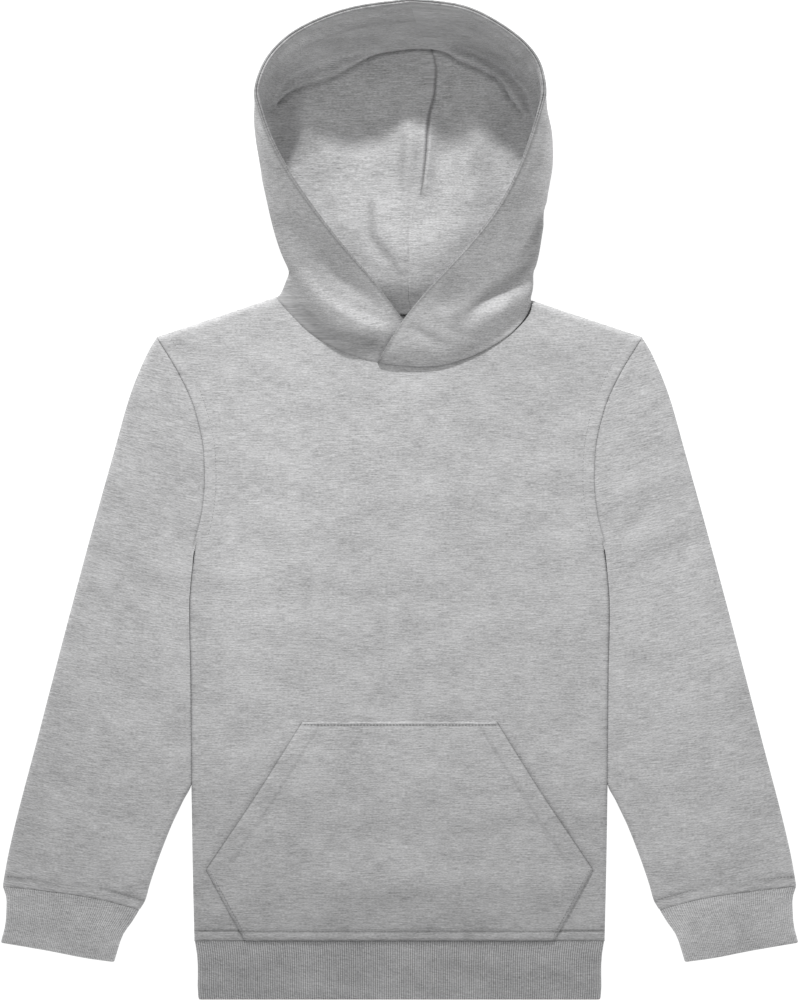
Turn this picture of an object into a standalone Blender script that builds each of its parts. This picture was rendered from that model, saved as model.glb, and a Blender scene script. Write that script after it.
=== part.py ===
"""Toddler hoodie of fleece and rib, laid flat on its back with the hood opened like a bowl.

Frame: the garment lies on z = 0, +Y runs from the hem to the crown of the hood, +X runs to the
wearer's left, and +Z points out of the chest. The origin is under the middle of the bounding box.
Every piece is a wall of cloth. Sizes are in millimetres and are turned into metres when a mesh is made.
"""

import bmesh
import bpy
import numpy as np

METRES_PER_MM = 0.001

# Cloth
FLEECE = 1.8            # wall of brushed sweatshirt fleece
RIB = 1.9               # wall of the folded rib of cuffs and hem
SEAM_GAP = 0.3          # free space between two pieces at a seam
LINING_REACH = 0.955    # share of the hood's rows that the lining covers: it stops short of the neck seam
ARMHOLE_GAP = 0.6       # the same at the curved armholes, whose two edges are faceted unlike
LOFT = 7.2              # height of the two layers of the body and sleeves as they lie
RIB_LOFT = 6.8          # the same for cuffs and hem band

# Meshing
EDGE_STEPS = (0.0, 0.008, 0.025, 0.05)   # columns that turn a closed edge down, as shares
SHOULDER_STEPS = (0.28, 0.54, 0.8, 0.97)  # further columns of a shoulder, up to the neck point
NECK_SHARE = 0.31       # share of the panel's columns that each shoulder takes
SIDE_ROWS = 8
ARMHOLE_ROWS = 7
ARMHOLE_FIRST = 0.03    # first row above the underarm point
POCKET_COLUMNS = 9
HOOD_COLUMNS = (0, 0.07, 0.12, 0.17, 0.22, 0.27, 0.32, 0.36, 0.40, 0.45, 0.50, 0.56, 0.69, 0.84, 1.0)
HOOD_ROWS = 17
SLEEVE_ROWS = 10
SLEEVE_COLUMNS = 7
CUFF_ROWS = 4
HEM_ROWS = 5
RIB_COLUMNS = 3
TURN_STEPS = 4          # steps round a folded edge
CREASE_ANGLE = 50       # degrees: sharper edges are not shaded smooth

# Levels of the body
HEM_SEAM_Y = -282.2
UNDERARM_Y = -28.5
SHOULDER_TIP = (155.5, 104.0)

# Half width of the body and of the armhole, from the hem seam up to the shoulder tip
BODY_SIDE = (
    # y, half_width
    (-282.2, 131.2),
    (-230.0, 132.4),
    (-183.0, 133.1),
    (-115.0, 133.8),
    (-70.0, 134.9),
    (-45.0, 133.4),
    (-28.5, 131.8),
)
ARMHOLE = (
    # y, half_width
    (-28.5, 131.8),
    (-6.1, 126.4),
    (13.1, 124.8),
    (30.0, 125.4),
    (57.9, 131.2),
    (80.0, 140.9),
    (104.0, 155.5),
)

# Neckline of the front, from the wearer's right neck point to the left one
FRONT_NECK = (
    # x, y
    (-78.5, 129.8),
    (-73.5, 123.4),
    (-58.0, 109.0),
    (-38.0, 97.0),
    (-16.0, 89.6),
    (2.0, 87.2),
    (19.0, 86.3),
    (34.0, 89.0),
    (50.0, 94.6),
    (68.5, 105.3),
    (80.5, 115.6),
    (84.0, 122.0),
    (84.5, 127.6),
)
# Neckline of the back, dipping behind the hood
BACK_NECK = (
    # x, y
    (-78.5, 129.8),
    (-66.0, 124.6),
    (-46.0, 120.4),
    (-24.0, 118.2),
    (0.0, 117.5),
    (25.0, 117.9),
    (50.0, 119.6),
    (71.0, 122.8),
    (84.5, 127.6),
)
# Where the neckline's points lie, as shares of its length. The two hood halves lap over each other
# between the cuts LAP_FROM and LAP_TO of the front.
FRONT_CUTS = (0.0, 0.035, 0.085, 0.15, 0.225, 0.315, 0.406, 0.476, 0.543, 0.60, 0.665, 0.74, 0.82, 0.91, 1.0)
NECK_MIDDLE = (0.0, 128.0)
NORMAL_EVENINGS = 9     # rounds that even out the directions in which the hood's wall is thickened
LAP_FROM = 6
LAP_TO = 8
BACK_CUTS = (0.0, 0.035, 0.11, 0.20, 0.31, 0.41, 0.50, 0.58, 0.68, 0.79, 0.88, 0.96, 1.0)

# Sleeve, by its two edges: the folded top edge and the edge of the under-sleeve seam
SLEEVE_TOP_EDGE = (
    # x, y
    (156.2, 104.0),
    (161.6, 95.0),
    (172.8, 68.2),
    (183.0, 32.3),
    (202.6, -39.4),
    (230.4, -146.9),
    (250.5, -227.5),
    (253.9, -247.2),
)
SLEEVE_UNDER_EDGE = (
    # x, y
    (132.4, -28.5),
    (134.0, -45.0),
    (135.5, -70.0),
    (134.4, -115.0),
    (133.8, -180.0),
    (138.6, -193.0),
    (146.4, -209.6),
    (159.6, -245.4),
    (162.6, -256.0),
    (166.2, -262.2),
)
# Seam of sleeve and cuff, and the open end of the cuff, from the top edge to the under edge
CUFF_SEAM = (
    # x, y
    (253.9, -247.2),
    (225.3, -250.4),
    (194.6, -255.0),
    (166.2, -262.2),
)
CUFF_END = (
    # x, y
    (255.1, -283.2),
    (225.3, -288.3),
    (200.0, -293.2),
    (182.6, -295.6),
)
CUFF_TOP_EDGE = (
    # x, y
    (253.9, -247.5),
    (251.4, -256.0),
    (251.9, -269.0),
    (255.1, -283.2),
)
CUFF_UNDER_EDGE = (
    # x, y
    (166.2, -262.5),
    (170.5, -269.0),
    (177.0, -278.5),
    (182.6, -295.6),
)

# Hem band, half width by height
HEM_SIDE = (
    # y, half_width
    (-282.5, 131.0),
    (-290.0, 129.6),
    (-300.0, 129.0),
    (-314.0, 129.2),
    (-319.6, 128.4),
)

# Kangaroo pocket: straight top, slanted hand openings, short sides caught in the hem seam
POCKET_OUTLINE = (
    # y, half_width
    (-141.8, 62.6),
    (-165.0, 77.0),
    (-190.0, 92.8),
    (-215.0, 109.6),
    (-236.0, 123.8),
    (-258.0, 112.0),
    (-281.9, 98.9),
)

# Hood halves. Each row is one section of the outer face, from the rim over the side of the hood to
# the centre seam on the ground: the rim, the lap that lies between rim and side, the side where the
# hood is widest, the foot where it meets the ground, and the height along the centre seam.
# The first row runs down the crown seam. The last row, the neck, takes its plan from the necklines.
HOOD_STATIONS = (0.0, 0.2, 0.4, 0.56, 0.78, 1.0)
HOOD_OVER = (
    # rim x, y, z, lap x, y, z, side x, y, z, foot x, y, spine y
    (0.0, 319.5, 66.0, 0.0, 312.0, 42.0, 0.0, 303.0, 19.0, 0.0, 292.0, 256.0),
    (32.0, 316.6, 66.0, 30.4, 309.6, 42.0, 29.0, 301.0, 19.0, 27.0, 290.0, 249.0),
    (61.0, 305.6, 65.0, 57.8, 300.0, 42.0, 54.4, 293.0, 19.0, 50.5, 284.0, 241.0),
    (81.3, 291.6, 64.0, 77.4, 287.4, 42.0, 73.0, 282.4, 19.0, 67.5, 276.0, 232.0),
    (91.4, 276.6, 63.0, 88.6, 274.0, 42.0, 85.0, 271.0, 20.0, 78.5, 267.0, 223.0),
    (94.2, 261.0, 64.0, 93.4, 259.6, 46.0, 91.6, 258.0, 22.0, 84.4, 255.6, 214.0),
    (91.2, 249.0, 63.0, 94.2, 247.6, 50.0, 95.0, 246.0, 25.0, 87.0, 245.0, 205.0),
    (86.0, 233.6, 61.0, 94.4, 233.6, 51.0, 97.8, 233.0, 24.0, 88.8, 232.6, 195.0),
    (77.2, 210.6, 55.0, 91.0, 214.0, 47.0, 98.4, 216.0, 22.0, 88.8, 216.6, 183.5),
    (62.8, 184.0, 47.0, 82.4, 192.0, 41.0, 95.4, 197.0, 20.0, 86.0, 198.6, 170.0),
    (42.6, 159.2, 37.0, 71.4, 169.6, 33.0, 92.4, 175.4, 18.0, 83.0, 177.6, 156.0),
    (19.4, 134.6, 28.0, 59.0, 146.0, 25.0, 89.6, 156.4, 15.0, 79.8, 159.6, 143.0),
    (8.6, 122.4, 23.5, 54.0, 129.0, 18.5, 87.0, 145.4, 10.5, 77.4, 150.6, 137.0),
    (1.2, 113.0, 21.0, 46.0, 116.0, 20.5, 86.6, 137.6, 9.5, 76.4, 142.6, 131.0),
    (-13.4, 90.6, 13.8, 34.0, 89.0, 10.4, 84.5, 127.6, 6.2, 70.0, 122.6, 117.5),
)
HOOD_UNDER = (
    # rim x, y, z, lap x, y, z, side x, y, z, foot x, y, spine y
    (0.0, 319.5, 66.0, 0.0, 312.0, 42.0, 0.0, 303.0, 19.0, 0.0, 292.0, 256.0),
    (30.6, 315.6, 66.0, 29.2, 308.6, 42.0, 27.8, 300.0, 19.0, 26.0, 289.0, 249.0),
    (57.8, 305.8, 65.0, 55.0, 300.0, 42.0, 51.6, 293.0, 19.0, 47.6, 283.6, 241.0),
    (77.4, 292.0, 64.0, 73.6, 287.6, 42.0, 69.4, 282.4, 19.0, 64.2, 276.0, 232.0),
    (88.4, 277.2, 63.0, 85.2, 274.4, 42.0, 81.6, 271.2, 20.0, 75.2, 267.0, 223.0),
    (93.4, 260.0, 64.0, 92.4, 258.6, 46.0, 89.8, 257.0, 22.0, 82.6, 254.6, 214.0),
    (90.0, 247.6, 63.0, 92.6, 246.6, 50.0, 93.2, 245.4, 25.0, 84.6, 244.4, 205.0),
    (84.6, 232.6, 61.0, 90.4, 233.0, 51.0, 92.4, 233.2, 24.0, 83.4, 232.8, 195.0),
    (73.0, 210.4, 55.0, 84.4, 214.4, 47.0, 90.0, 217.6, 22.0, 80.8, 217.8, 183.5),
    (55.8, 185.4, 47.0, 74.4, 192.6, 41.0, 86.4, 197.4, 20.0, 77.4, 198.8, 170.0),
    (35.6, 160.0, 36.0, 62.4, 170.0, 32.0, 81.8, 175.8, 18.0, 72.8, 178.0, 156.0),
    (13.4, 135.4, 23.0, 49.0, 145.0, 24.0, 76.0, 157.0, 15.0, 66.6, 159.6, 143.0),
    (3.4, 122.0, 17.5, 41.0, 118.0, 16.5, 71.0, 146.0, 11.5, 61.6, 151.0, 137.0),
    (-4.6, 112.0, 13.2, 34.0, 106.0, 16.0, 72.6, 140.2, 10.5, 61.6, 144.2, 131.0),
    (-13.0, 86.9, 6.9, 28.0, 92.6, 9.0, 78.5, 129.8, 6.2, 66.0, 124.6, 117.5),
)


def smooth(knots, values, at):
    """Values at given places, by cubics through the knots that never swing past a knot's value."""
    knots = np.asarray(knots, float)
    values = np.asarray(values, float)
    at = np.asarray(at, float)
    step = np.diff(knots)
    slope = np.diff(values, axis=0) / step.reshape((-1,) + (1,) * (values.ndim - 1))
    before, after = slope[:-1], slope[1:]
    same_way = before * after > 0
    total = np.where(same_way, before + after, 1.0)
    bend = np.where(same_way, 2 * before * after / total, 0.0)
    tangent = np.concatenate([slope[:1], bend, slope[-1:]])
    part = np.clip(np.searchsorted(knots, at, side="right") - 1, 0, len(step) - 1)
    shape = (-1,) + (1,) * (values.ndim - 1)
    width = step[part].reshape(shape)
    t = ((at - knots[part]) / step[part]).reshape(shape)
    return (
        (2 * t**3 - 3 * t**2 + 1) * values[part]
        + (t**3 - 2 * t**2 + t) * width * tangent[part]
        + (3 * t**2 - 2 * t**3) * values[part + 1]
        + (t**3 - t**2) * width * tangent[part + 1]
    )


def along(points, share):
    """Points at given shares of the length of a smooth line through a few points."""
    points = np.asarray(points, float)
    reach = np.concatenate([[0.0], np.cumsum(np.linalg.norm(np.diff(points, axis=0), axis=1))])
    return smooth(reach / reach[-1], points, share)


def blend(start, end, left, right, across, down):
    """Coons patch with its own spacing: start and end follow across, left and right follow down."""
    s = across[None, :, None]
    t = down[:, None, None]
    ruled_down = (1 - t) * start[None] + t * end[None]
    ruled_across = (1 - s) * left[:, None] + s * right[:, None]
    corners = (
        (1 - s) * (1 - t) * start[0]
        + s * (1 - t) * start[-1]
        + (1 - s) * t * end[0]
        + s * t * end[-1]
    )
    return ruled_down + ruled_across - corners


def grid_normals(grid):
    """Unit normals of a grid of points, from the areas of its cells."""
    total = np.zeros_like(grid)
    first = np.cross(grid[1:, :-1] - grid[:-1, :-1], grid[:-1, 1:] - grid[:-1, :-1])
    second = np.cross(grid[:-1, 1:] - grid[1:, 1:], grid[1:, :-1] - grid[1:, 1:])
    for cell, corners in (
        (first, ((0, 0), (1, 0), (0, 1))),
        (second, ((1, 1), (1, 0), (0, 1))),
    ):
        rows, columns = cell.shape[:2]
        for row, column in corners:
            total[row:row + rows, column:column + columns] += cell
    length = np.linalg.norm(total, axis=2, keepdims=True)
    return total / np.maximum(length, 1e-9)


def material(name, colour, roughness):
    """Plain Principled material of a cloth."""
    made = bpy.data.materials.new(name)
    made.use_nodes = True
    shader = made.node_tree.nodes["Principled BSDF"]
    shader.inputs["Base Color"].default_value = (*colour, 1.0)
    shader.inputs["Roughness"].default_value = roughness
    shader.inputs["Metallic"].default_value = 0.0
    return made


def add_object(name, bm, cloth):
    """Turn a closed mesh in millimetres into an object in metres."""
    bmesh.ops.recalc_face_normals(bm, faces=bm.faces)
    bmesh.ops.scale(bm, verts=bm.verts, vec=(METRES_PER_MM,) * 3)
    mesh = bpy.data.meshes.new(name)
    bm.to_mesh(mesh)
    bm.free()
    mesh.shade_smooth()
    mesh.set_sharp_from_angle(angle=np.radians(CREASE_ANGLE))
    mesh.materials.append(cloth)
    made = bpy.data.objects.new(name, mesh)
    bpy.context.scene.collection.objects.link(made)
    return made


def skin(bm, verts, wrap=False):
    """Faces over a grid of vertices; a wrapped grid closes on itself across."""
    rows, columns = len(verts), len(verts[0])
    for row in range(rows - 1):
        for column in range(columns if wrap else columns - 1):
            beside = (column + 1) % columns
            bm.faces.new((verts[row][column], verts[row + 1][column],
                          verts[row + 1][beside], verts[row][beside]))


def panel(name, outer, inner, cloth):
    """Closed wall between two grids of points."""
    bm = bmesh.new()
    sides = [[[bm.verts.new(point) for point in row] for row in grid] for grid in (outer, inner)]
    for verts in sides:
        skin(bm, verts)
    edges = [
        [verts[0] for verts in sides],
        [verts[-1] for verts in sides],
        [[row[0] for row in verts] for verts in sides],
        [[row[-1] for row in verts] for verts in sides],
    ]
    for edge in edges:
        skin(bm, edge)
    return add_object(name, bm, cloth)


def tube(name, outer, inner, cloth):
    """Wall of a flattened tube that is open at both ends."""
    bm = bmesh.new()
    sides = [[[bm.verts.new(point) for point in row] for row in grid] for grid in (outer, inner)]
    for verts in sides:
        skin(bm, verts, wrap=True)
    for end in (0, -1):
        skin(bm, [verts[end] for verts in sides], wrap=True)
    return add_object(name, bm, cloth)


def lying_ring(half_width, loft, inset, flat_steps, turn_steps):
    """Section of a tube that lies flat: places across and heights, with round turns at both edges.

    The ring starts in the middle of the top, and the inset moves it inwards by a wall.
    """
    radius = loft / 2 - inset
    straight = half_width - loft / 2
    flat = np.linspace(0, 1, flat_steps + 1)[1:]
    turn = np.linspace(0, np.pi, turn_steps + 1)[1:]
    across = np.concatenate([
        [0.0],
        straight * flat,
        straight + radius * np.sin(turn),
        straight * (1 - flat),
        -straight * flat,
        -straight - radius * np.sin(turn),
        -straight * (1 - flat[:-1]),
    ])
    up = np.concatenate([
        np.full(flat_steps + 1, radius),
        radius * np.cos(turn),
        np.full(2 * flat_steps, -radius),
        -radius * np.cos(turn),
        np.full(flat_steps - 1, radius),
    ])
    return across, up + loft / 2


def lying_tube(name, start, end, left, right, rows, flat_steps, loft, wall, cloth, sign=1):
    """Flattened tube between two open ends and two folded edges, given in plan."""
    down = np.linspace(0, 1, rows)
    left_line = along(left, down)
    right_line = along(right, down)
    grids = []
    for inset in (0.0, wall):
        grid = []
        for row, share in enumerate(down):
            width = np.linalg.norm(right_line[row] - left_line[row])
            across, up = lying_ring(width / 2, loft, inset, flat_steps, TURN_STEPS)
            place = across / width + 0.5
            plan = np.array([
                blend(
                    along(start, np.array([0.0, one, 1.0])),
                    along(end, np.array([0.0, one, 1.0])),
                    left_line[row:row + 1],
                    right_line[row:row + 1],
                    np.array([0.0, one, 1.0]),
                    np.array([share]),
                )[0, 1]
                for one in place
            ])
            grid.append(np.column_stack([sign * plan[:, 0], plan[:, 1], up]))
        grids.append(grid)
    return tube(name, grids[0], grids[1], cloth)


def away_from_neck(points, gap):
    """Neckline moved outwards from the middle of the neck."""
    reach = points - NECK_MIDDLE
    return points + gap * reach / np.linalg.norm(reach, axis=1, keepdims=True)


def distance_to_line(points, line):
    """Shortest plan distance from each point to a line of points."""
    best = np.full(points.shape[:-1], np.inf)
    for start, end in zip(line[:-1], line[1:]):
        leg = end - start
        share = np.clip(((points - start) @ leg) / (leg @ leg), 0, 1)
        foot = start + share[..., None] * leg
        best = np.minimum(best, np.linalg.norm(points - foot, axis=-1))
    return best


def body_plan(neck, cuts):
    """Plan grid of a body panel, rows from the hem seam to the shoulder seams and the neckline.

    The neckline takes the middle columns, with a point at each of its cuts.
    """
    neck_line = away_from_neck(along(neck, cuts), SEAM_GAP)
    shoulder_share = np.array(EDGE_STEPS + SHOULDER_STEPS)
    across = np.concatenate([
        NECK_SHARE * shoulder_share,
        NECK_SHARE + (1 - 2 * NECK_SHARE) * np.array(cuts),
        1 - NECK_SHARE * shoulder_share[::-1],
    ])
    tip = np.array(SHOULDER_TIP)
    right = tip * (-1, 1) + shoulder_share[:, None] * (neck_line[0] - tip * (-1, 1))
    left = tip + shoulder_share[::-1, None] * (neck_line[-1] - tip)
    top = np.vstack([right, neck_line, left])
    hem = np.column_stack([(2 * across - 1) * BODY_SIDE[0][1], np.full(len(across), HEM_SEAM_Y)])
    below = np.linspace(0, 1, SIDE_ROWS)
    above = np.linspace(0, 1, ARMHOLE_ROWS + 2)[1:-1]
    armhole_steps = np.concatenate([[ARMHOLE_FIRST], above, 1 - np.array(EDGE_STEPS)[::-1]])
    side_y = np.concatenate([
        HEM_SEAM_Y + below * (UNDERARM_Y - HEM_SEAM_Y),
        UNDERARM_Y + armhole_steps * (tip[1] - UNDERARM_Y),
    ])
    below_arm = side_y <= UNDERARM_Y
    side_x = np.where(below_arm, smooth(*zip(*BODY_SIDE), np.minimum(side_y, UNDERARM_Y)),
                      smooth(*zip(*ARMHOLE), np.maximum(side_y, UNDERARM_Y)))
    side = np.column_stack([side_x, side_y])
    down = (side_y - HEM_SEAM_Y) / (tip[1] - HEM_SEAM_Y)
    return blend(hem, top, side * (-1, 1), side, across, down)


def closed_edges(neck):
    """The four edges where the front meets the back: the side seams and the shoulder seams."""
    tip = np.array(SHOULDER_TIP)
    sides = np.array([(half, y) for y, half in BODY_SIDE])
    neck_points = away_from_neck(np.array(neck), SEAM_GAP)
    return [
        sides,
        sides * (-1, 1),
        np.array([tip, neck_points[-1]]),
        np.array([tip * (-1, 1), neck_points[0]]),
    ]


def body_height(plan, neck):
    """Height of the front's outer face: rounded down to the seam at the closed edges."""
    radius = LOFT / 2
    near = np.min([distance_to_line(plan, line) for line in closed_edges(neck)], axis=0)
    inward = np.clip(near / radius, 0, 1)
    return LOFT / 2 + SEAM_GAP / 2 + (radius - SEAM_GAP / 2) * np.sqrt(1 - (1 - inward) ** 2)


def make_front(cloth):
    """Front panel: its outer face lies one loft up, and its edges turn down to the side seams."""
    plan = body_plan(FRONT_NECK, FRONT_CUTS)
    outer = np.dstack([plan, body_height(plan, FRONT_NECK)])
    inner = outer - FLEECE * upward(grid_normals(outer))
    inner[..., 2] = np.maximum(inner[..., 2], (LOFT + SEAM_GAP) / 2)
    return panel("front_panel", outer, inner, cloth)


def make_back(cloth):
    """Back panel: flat on the ground, with edges that turn up to the side seams."""
    plan = body_plan(BACK_NECK, BACK_CUTS)
    outer = np.dstack([plan, LOFT - body_height(plan, BACK_NECK)])
    inner = outer + FLEECE * upward(grid_normals(outer))
    inner[..., 2] = np.minimum(inner[..., 2], (LOFT - SEAM_GAP) / 2)
    return panel("back_panel", outer, inner, cloth)


def upward(normals):
    """Normals turned so that they all point up."""
    return np.where(normals[..., 2:] < 0, -normals, normals)


def make_pocket(cloth):
    """Kangaroo pocket, raised off the front panel's own face."""
    table = np.array(POCKET_OUTLINE)
    across = np.linspace(-1, 1, POCKET_COLUMNS)
    plan = np.array([[(share * half, y) for share in across] for y, half in table])
    lower = np.dstack([plan, body_height(plan, FRONT_NECK) + SEAM_GAP])
    upper = lower + np.array([0.0, 0.0, FLEECE])
    return panel("pocket", upper, lower, cloth)


def neck_section(side):
    """Plan of a hood half's lowest section: along the front neckline, round the neck point, back."""
    front = along(FRONT_NECK, FRONT_CUTS)
    back = along(BACK_NECK, BACK_CUTS)
    middle = len(BACK_CUTS) // 2
    if side == "over":
        return np.vstack([front[LAP_FROM:], back[middle:-1][::-1]])
    return np.vstack([front[LAP_TO::-1], back[1:middle + 1]]) * (-1, 1)


def hood_face(side, columns, rows):
    """Outer face of a hood half as a grid, rows from the crown to the neck, columns rim to spine."""
    table = np.array(HOOD_OVER if side == "over" else HOOD_UNDER)
    v = np.asarray(columns)
    sections = []
    for row in table:
        rim, lap, widest = row[0:3], row[3:6], row[6:9]
        foot = np.array([row[9], row[10], 0.0])
        spine = np.array([0.0, row[11], 0.0])
        floor = (foot + spine) / 2
        sections.append(smooth(HOOD_STATIONS, [rim, lap, widest, foot, floor, spine], v))
    sections[-1][:, :2] = neck_section(side)
    knots = np.linspace(0, 1, len(table))
    return smooth(knots, np.array(sections), rows)


def hood_layer(face, depth):
    """The hood's outer face moved inwards by a depth, its centre seam kept on the middle plane."""
    normals = grid_normals(face)
    for _ in range(NORMAL_EVENINGS):
        padded = np.pad(normals, ((1, 1), (1, 1), (0, 0)), mode="edge")
        beside = padded[:-2, 1:-1] + padded[2:, 1:-1] + padded[1:-1, :-2] + padded[1:-1, 2:]
        normals = normals / 2 + beside / 8
    normals[0, :, 0] = 0.0
    normals[:, -1, 0] = 0.0
    if normals[len(face) // 2, -1, 2] < 0:
        normals = -normals
    outward = face[-1, :, :2] - NECK_MIDDLE
    outward /= np.linalg.norm(outward, axis=1, keepdims=True)
    beyond = np.maximum((normals[-1, :, :2] * outward).sum(axis=1, keepdims=True), 0)
    normals[-1, :, :2] -= beyond * outward
    normals /= np.maximum(np.linalg.norm(normals, axis=2, keepdims=True), 1e-9)
    return face + depth * normals


def make_hood(cloth):
    """Two outer halves and two lining halves, each a wall, with the wearer's left half lapped over."""
    rows = np.append(np.linspace(0, LINING_REACH, HOOD_ROWS), 1.0)
    for side, name, sign in (("over", "left", 1), ("under", "right", -1)):
        face = hood_face(side, HOOD_COLUMNS, rows)
        face[..., 0] += SEAM_GAP / 2
        depths = (0.0, FLEECE, FLEECE + SEAM_GAP, 2 * FLEECE + SEAM_GAP)
        layers = [hood_layer(face, depth) * (sign, 1, 1) for depth in depths]
        panel("hood_" + name, layers[0], layers[1], cloth)
        panel("hood_lining_" + name, layers[2][:-1], layers[3][:-1], cloth)


def make_sleeves(cloth, rib):
    """Two sleeves from the armhole to the cuff seam, and the rib cuffs, all lying flat."""
    armhole = [(half + ARMHOLE_GAP, y) for y, half in reversed(ARMHOLE)]
    for name, sign in (("left", 1), ("right", -1)):
        lying_tube("sleeve_" + name, armhole, CUFF_SEAM, SLEEVE_TOP_EDGE, SLEEVE_UNDER_EDGE,
                   SLEEVE_ROWS, SLEEVE_COLUMNS, LOFT, FLEECE, cloth, sign)
        seam = [(x, y - SEAM_GAP) for x, y in CUFF_SEAM]
        lying_tube("cuff_" + name, seam, CUFF_END, CUFF_TOP_EDGE, CUFF_UNDER_EDGE,
                   CUFF_ROWS, RIB_COLUMNS, RIB_LOFT, RIB, rib, sign)


def make_hem(rib):
    """Hem band: a flat rib tube below the hem seam."""
    right = [(half, y) for y, half in HEM_SIDE]
    left = [(-half, y) for y, half in HEM_SIDE]
    seam = [left[0], right[0]]
    end = [left[-1], right[-1]]
    lying_tube("hem_band", seam, end, left, right, HEM_ROWS, RIB_COLUMNS, RIB_LOFT, RIB,
               rib)


def main():
    for made in list(bpy.data.objects):
        bpy.data.objects.remove(made, do_unlink=True)
    fleece = material("fleece", (0.43, 0.43, 0.43), 0.95)
    rib = material("rib", (0.39, 0.39, 0.39), 0.95)
    make_back(fleece)
    make_front(fleece)
    make_pocket(fleece)
    make_sleeves(fleece, rib)
    make_hem(rib)
    make_hood(fleece)


main()
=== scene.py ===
"""Looks of a toddler hoodie laid flat: heather grey fleece, rib cuffs and hem band, stitched seams.

Every cloth piece is a thin wall on the form of its solid, worked out from the same tables of sizes,
with finer rows, soft folds and rounded edges. Sizes are in millimetres and are turned into metres
when a mesh is made. +Y runs from hem to crown, +X to the wearer's left, +Z out of the chest.
"""

import bpy
import numpy as np
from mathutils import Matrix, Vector


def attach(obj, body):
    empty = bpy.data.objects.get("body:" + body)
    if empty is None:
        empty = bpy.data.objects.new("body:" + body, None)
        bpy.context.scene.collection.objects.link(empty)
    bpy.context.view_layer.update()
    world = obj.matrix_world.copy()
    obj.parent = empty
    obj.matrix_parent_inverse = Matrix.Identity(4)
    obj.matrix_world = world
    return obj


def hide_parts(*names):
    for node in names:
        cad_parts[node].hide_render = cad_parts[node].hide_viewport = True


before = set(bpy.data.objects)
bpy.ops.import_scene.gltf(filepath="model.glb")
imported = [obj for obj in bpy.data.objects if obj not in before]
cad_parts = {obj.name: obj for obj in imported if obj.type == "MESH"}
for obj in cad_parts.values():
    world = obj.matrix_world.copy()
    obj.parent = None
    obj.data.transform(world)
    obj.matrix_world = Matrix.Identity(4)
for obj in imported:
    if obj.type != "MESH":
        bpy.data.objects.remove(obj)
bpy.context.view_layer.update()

METRES_PER_MM = 0.001

# Cloth
FLEECE = 1.8            # wall of brushed sweatshirt fleece
RIB = 1.9               # wall of the folded rib of cuffs and hem
SEAM_GAP = 0.3          # free space between two pieces at a seam
LOFT = 7.2              # height of the two layers of the body and sleeves as they lie
RIB_LOFT = 6.8          # the same for cuffs and hem band

# Levels of the body
HEM_SEAM_Y = -282.2
UNDERARM_Y = -28.5
SHOULDER_TIP = (155.5, 104.0)

# Half width of the body and of the armhole, from the hem seam up to the shoulder tip
BODY_SIDE = (
    # y, half_width
    (-282.2, 131.2),
    (-230.0, 132.4),
    (-183.0, 133.1),
    (-115.0, 133.8),
    (-70.0, 134.9),
    (-45.0, 133.4),
    (-28.5, 131.8),
)
ARMHOLE = (
    # y, half_width
    (-28.5, 131.8),
    (-6.1, 126.4),
    (13.1, 124.8),
    (30.0, 125.4),
    (57.9, 131.2),
    (80.0, 140.9),
    (104.0, 155.5),
)

# Neckline of the front, from the wearer's right neck point to the left one
FRONT_NECK = (
    # x, y
    (-78.5, 129.8),
    (-73.5, 123.4),
    (-58.0, 109.0),
    (-38.0, 97.0),
    (-16.0, 89.6),
    (2.0, 87.2),
    (19.0, 86.3),
    (34.0, 89.0),
    (50.0, 94.6),
    (68.5, 105.3),
    (80.5, 115.6),
    (84.0, 122.0),
    (84.5, 127.6),
)
# Neckline of the back, dipping behind the hood
BACK_NECK = (
    # x, y
    (-78.5, 129.8),
    (-66.0, 124.6),
    (-46.0, 120.4),
    (-24.0, 118.2),
    (0.0, 117.5),
    (25.0, 117.9),
    (50.0, 119.6),
    (71.0, 122.8),
    (84.5, 127.6),
)
# Where the neckline's points lie, as shares of its length. The two hood halves lap over each other
# between the cuts LAP_FROM and LAP_TO of the front.
FRONT_CUTS = (0.0, 0.035, 0.085, 0.15, 0.225, 0.315, 0.406, 0.476, 0.543, 0.60, 0.665, 0.74, 0.82, 0.91,
              1.0)
BACK_CUTS = (0.0, 0.035, 0.11, 0.20, 0.31, 0.41, 0.50, 0.58, 0.68, 0.79, 0.88, 0.96, 1.0)
LAP_FROM = 6
LAP_TO = 8
NECK_MIDDLE = (0.0, 128.0)

# Sleeve, by its two edges: the folded top edge and the edge of the under-sleeve seam
SLEEVE_TOP_EDGE = (
    # x, y
    (156.2, 104.0),
    (161.6, 95.0),
    (172.8, 68.2),
    (183.0, 32.3),
    (202.6, -39.4),
    (230.4, -146.9),
    (250.5, -227.5),
    (253.9, -247.2),
)
SLEEVE_UNDER_EDGE = (
    # x, y
    (132.4, -28.5),
    (134.0, -45.0),
    (135.5, -70.0),
    (134.4, -115.0),
    (133.8, -180.0),
    (138.6, -193.0),
    (146.4, -209.6),
    (159.6, -245.4),
    (162.6, -256.0),
    (166.2, -262.2),
)
# Seam of sleeve and cuff, and the open end of the cuff, from the top edge to the under edge
CUFF_SEAM = (
    # x, y
    (253.9, -247.2),
    (225.3, -250.4),
    (194.6, -255.0),
    (166.2, -262.2),
)
CUFF_END = (
    # x, y
    (255.1, -283.2),
    (225.3, -288.3),
    (200.0, -293.2),
    (182.6, -295.6),
)
CUFF_TOP_EDGE = (
    # x, y
    (253.9, -247.5),
    (251.4, -256.0),
    (251.9, -269.0),
    (255.1, -283.2),
)
CUFF_UNDER_EDGE = (
    # x, y
    (166.2, -262.5),
    (170.5, -269.0),
    (177.0, -278.5),
    (182.6, -295.6),
)

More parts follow.
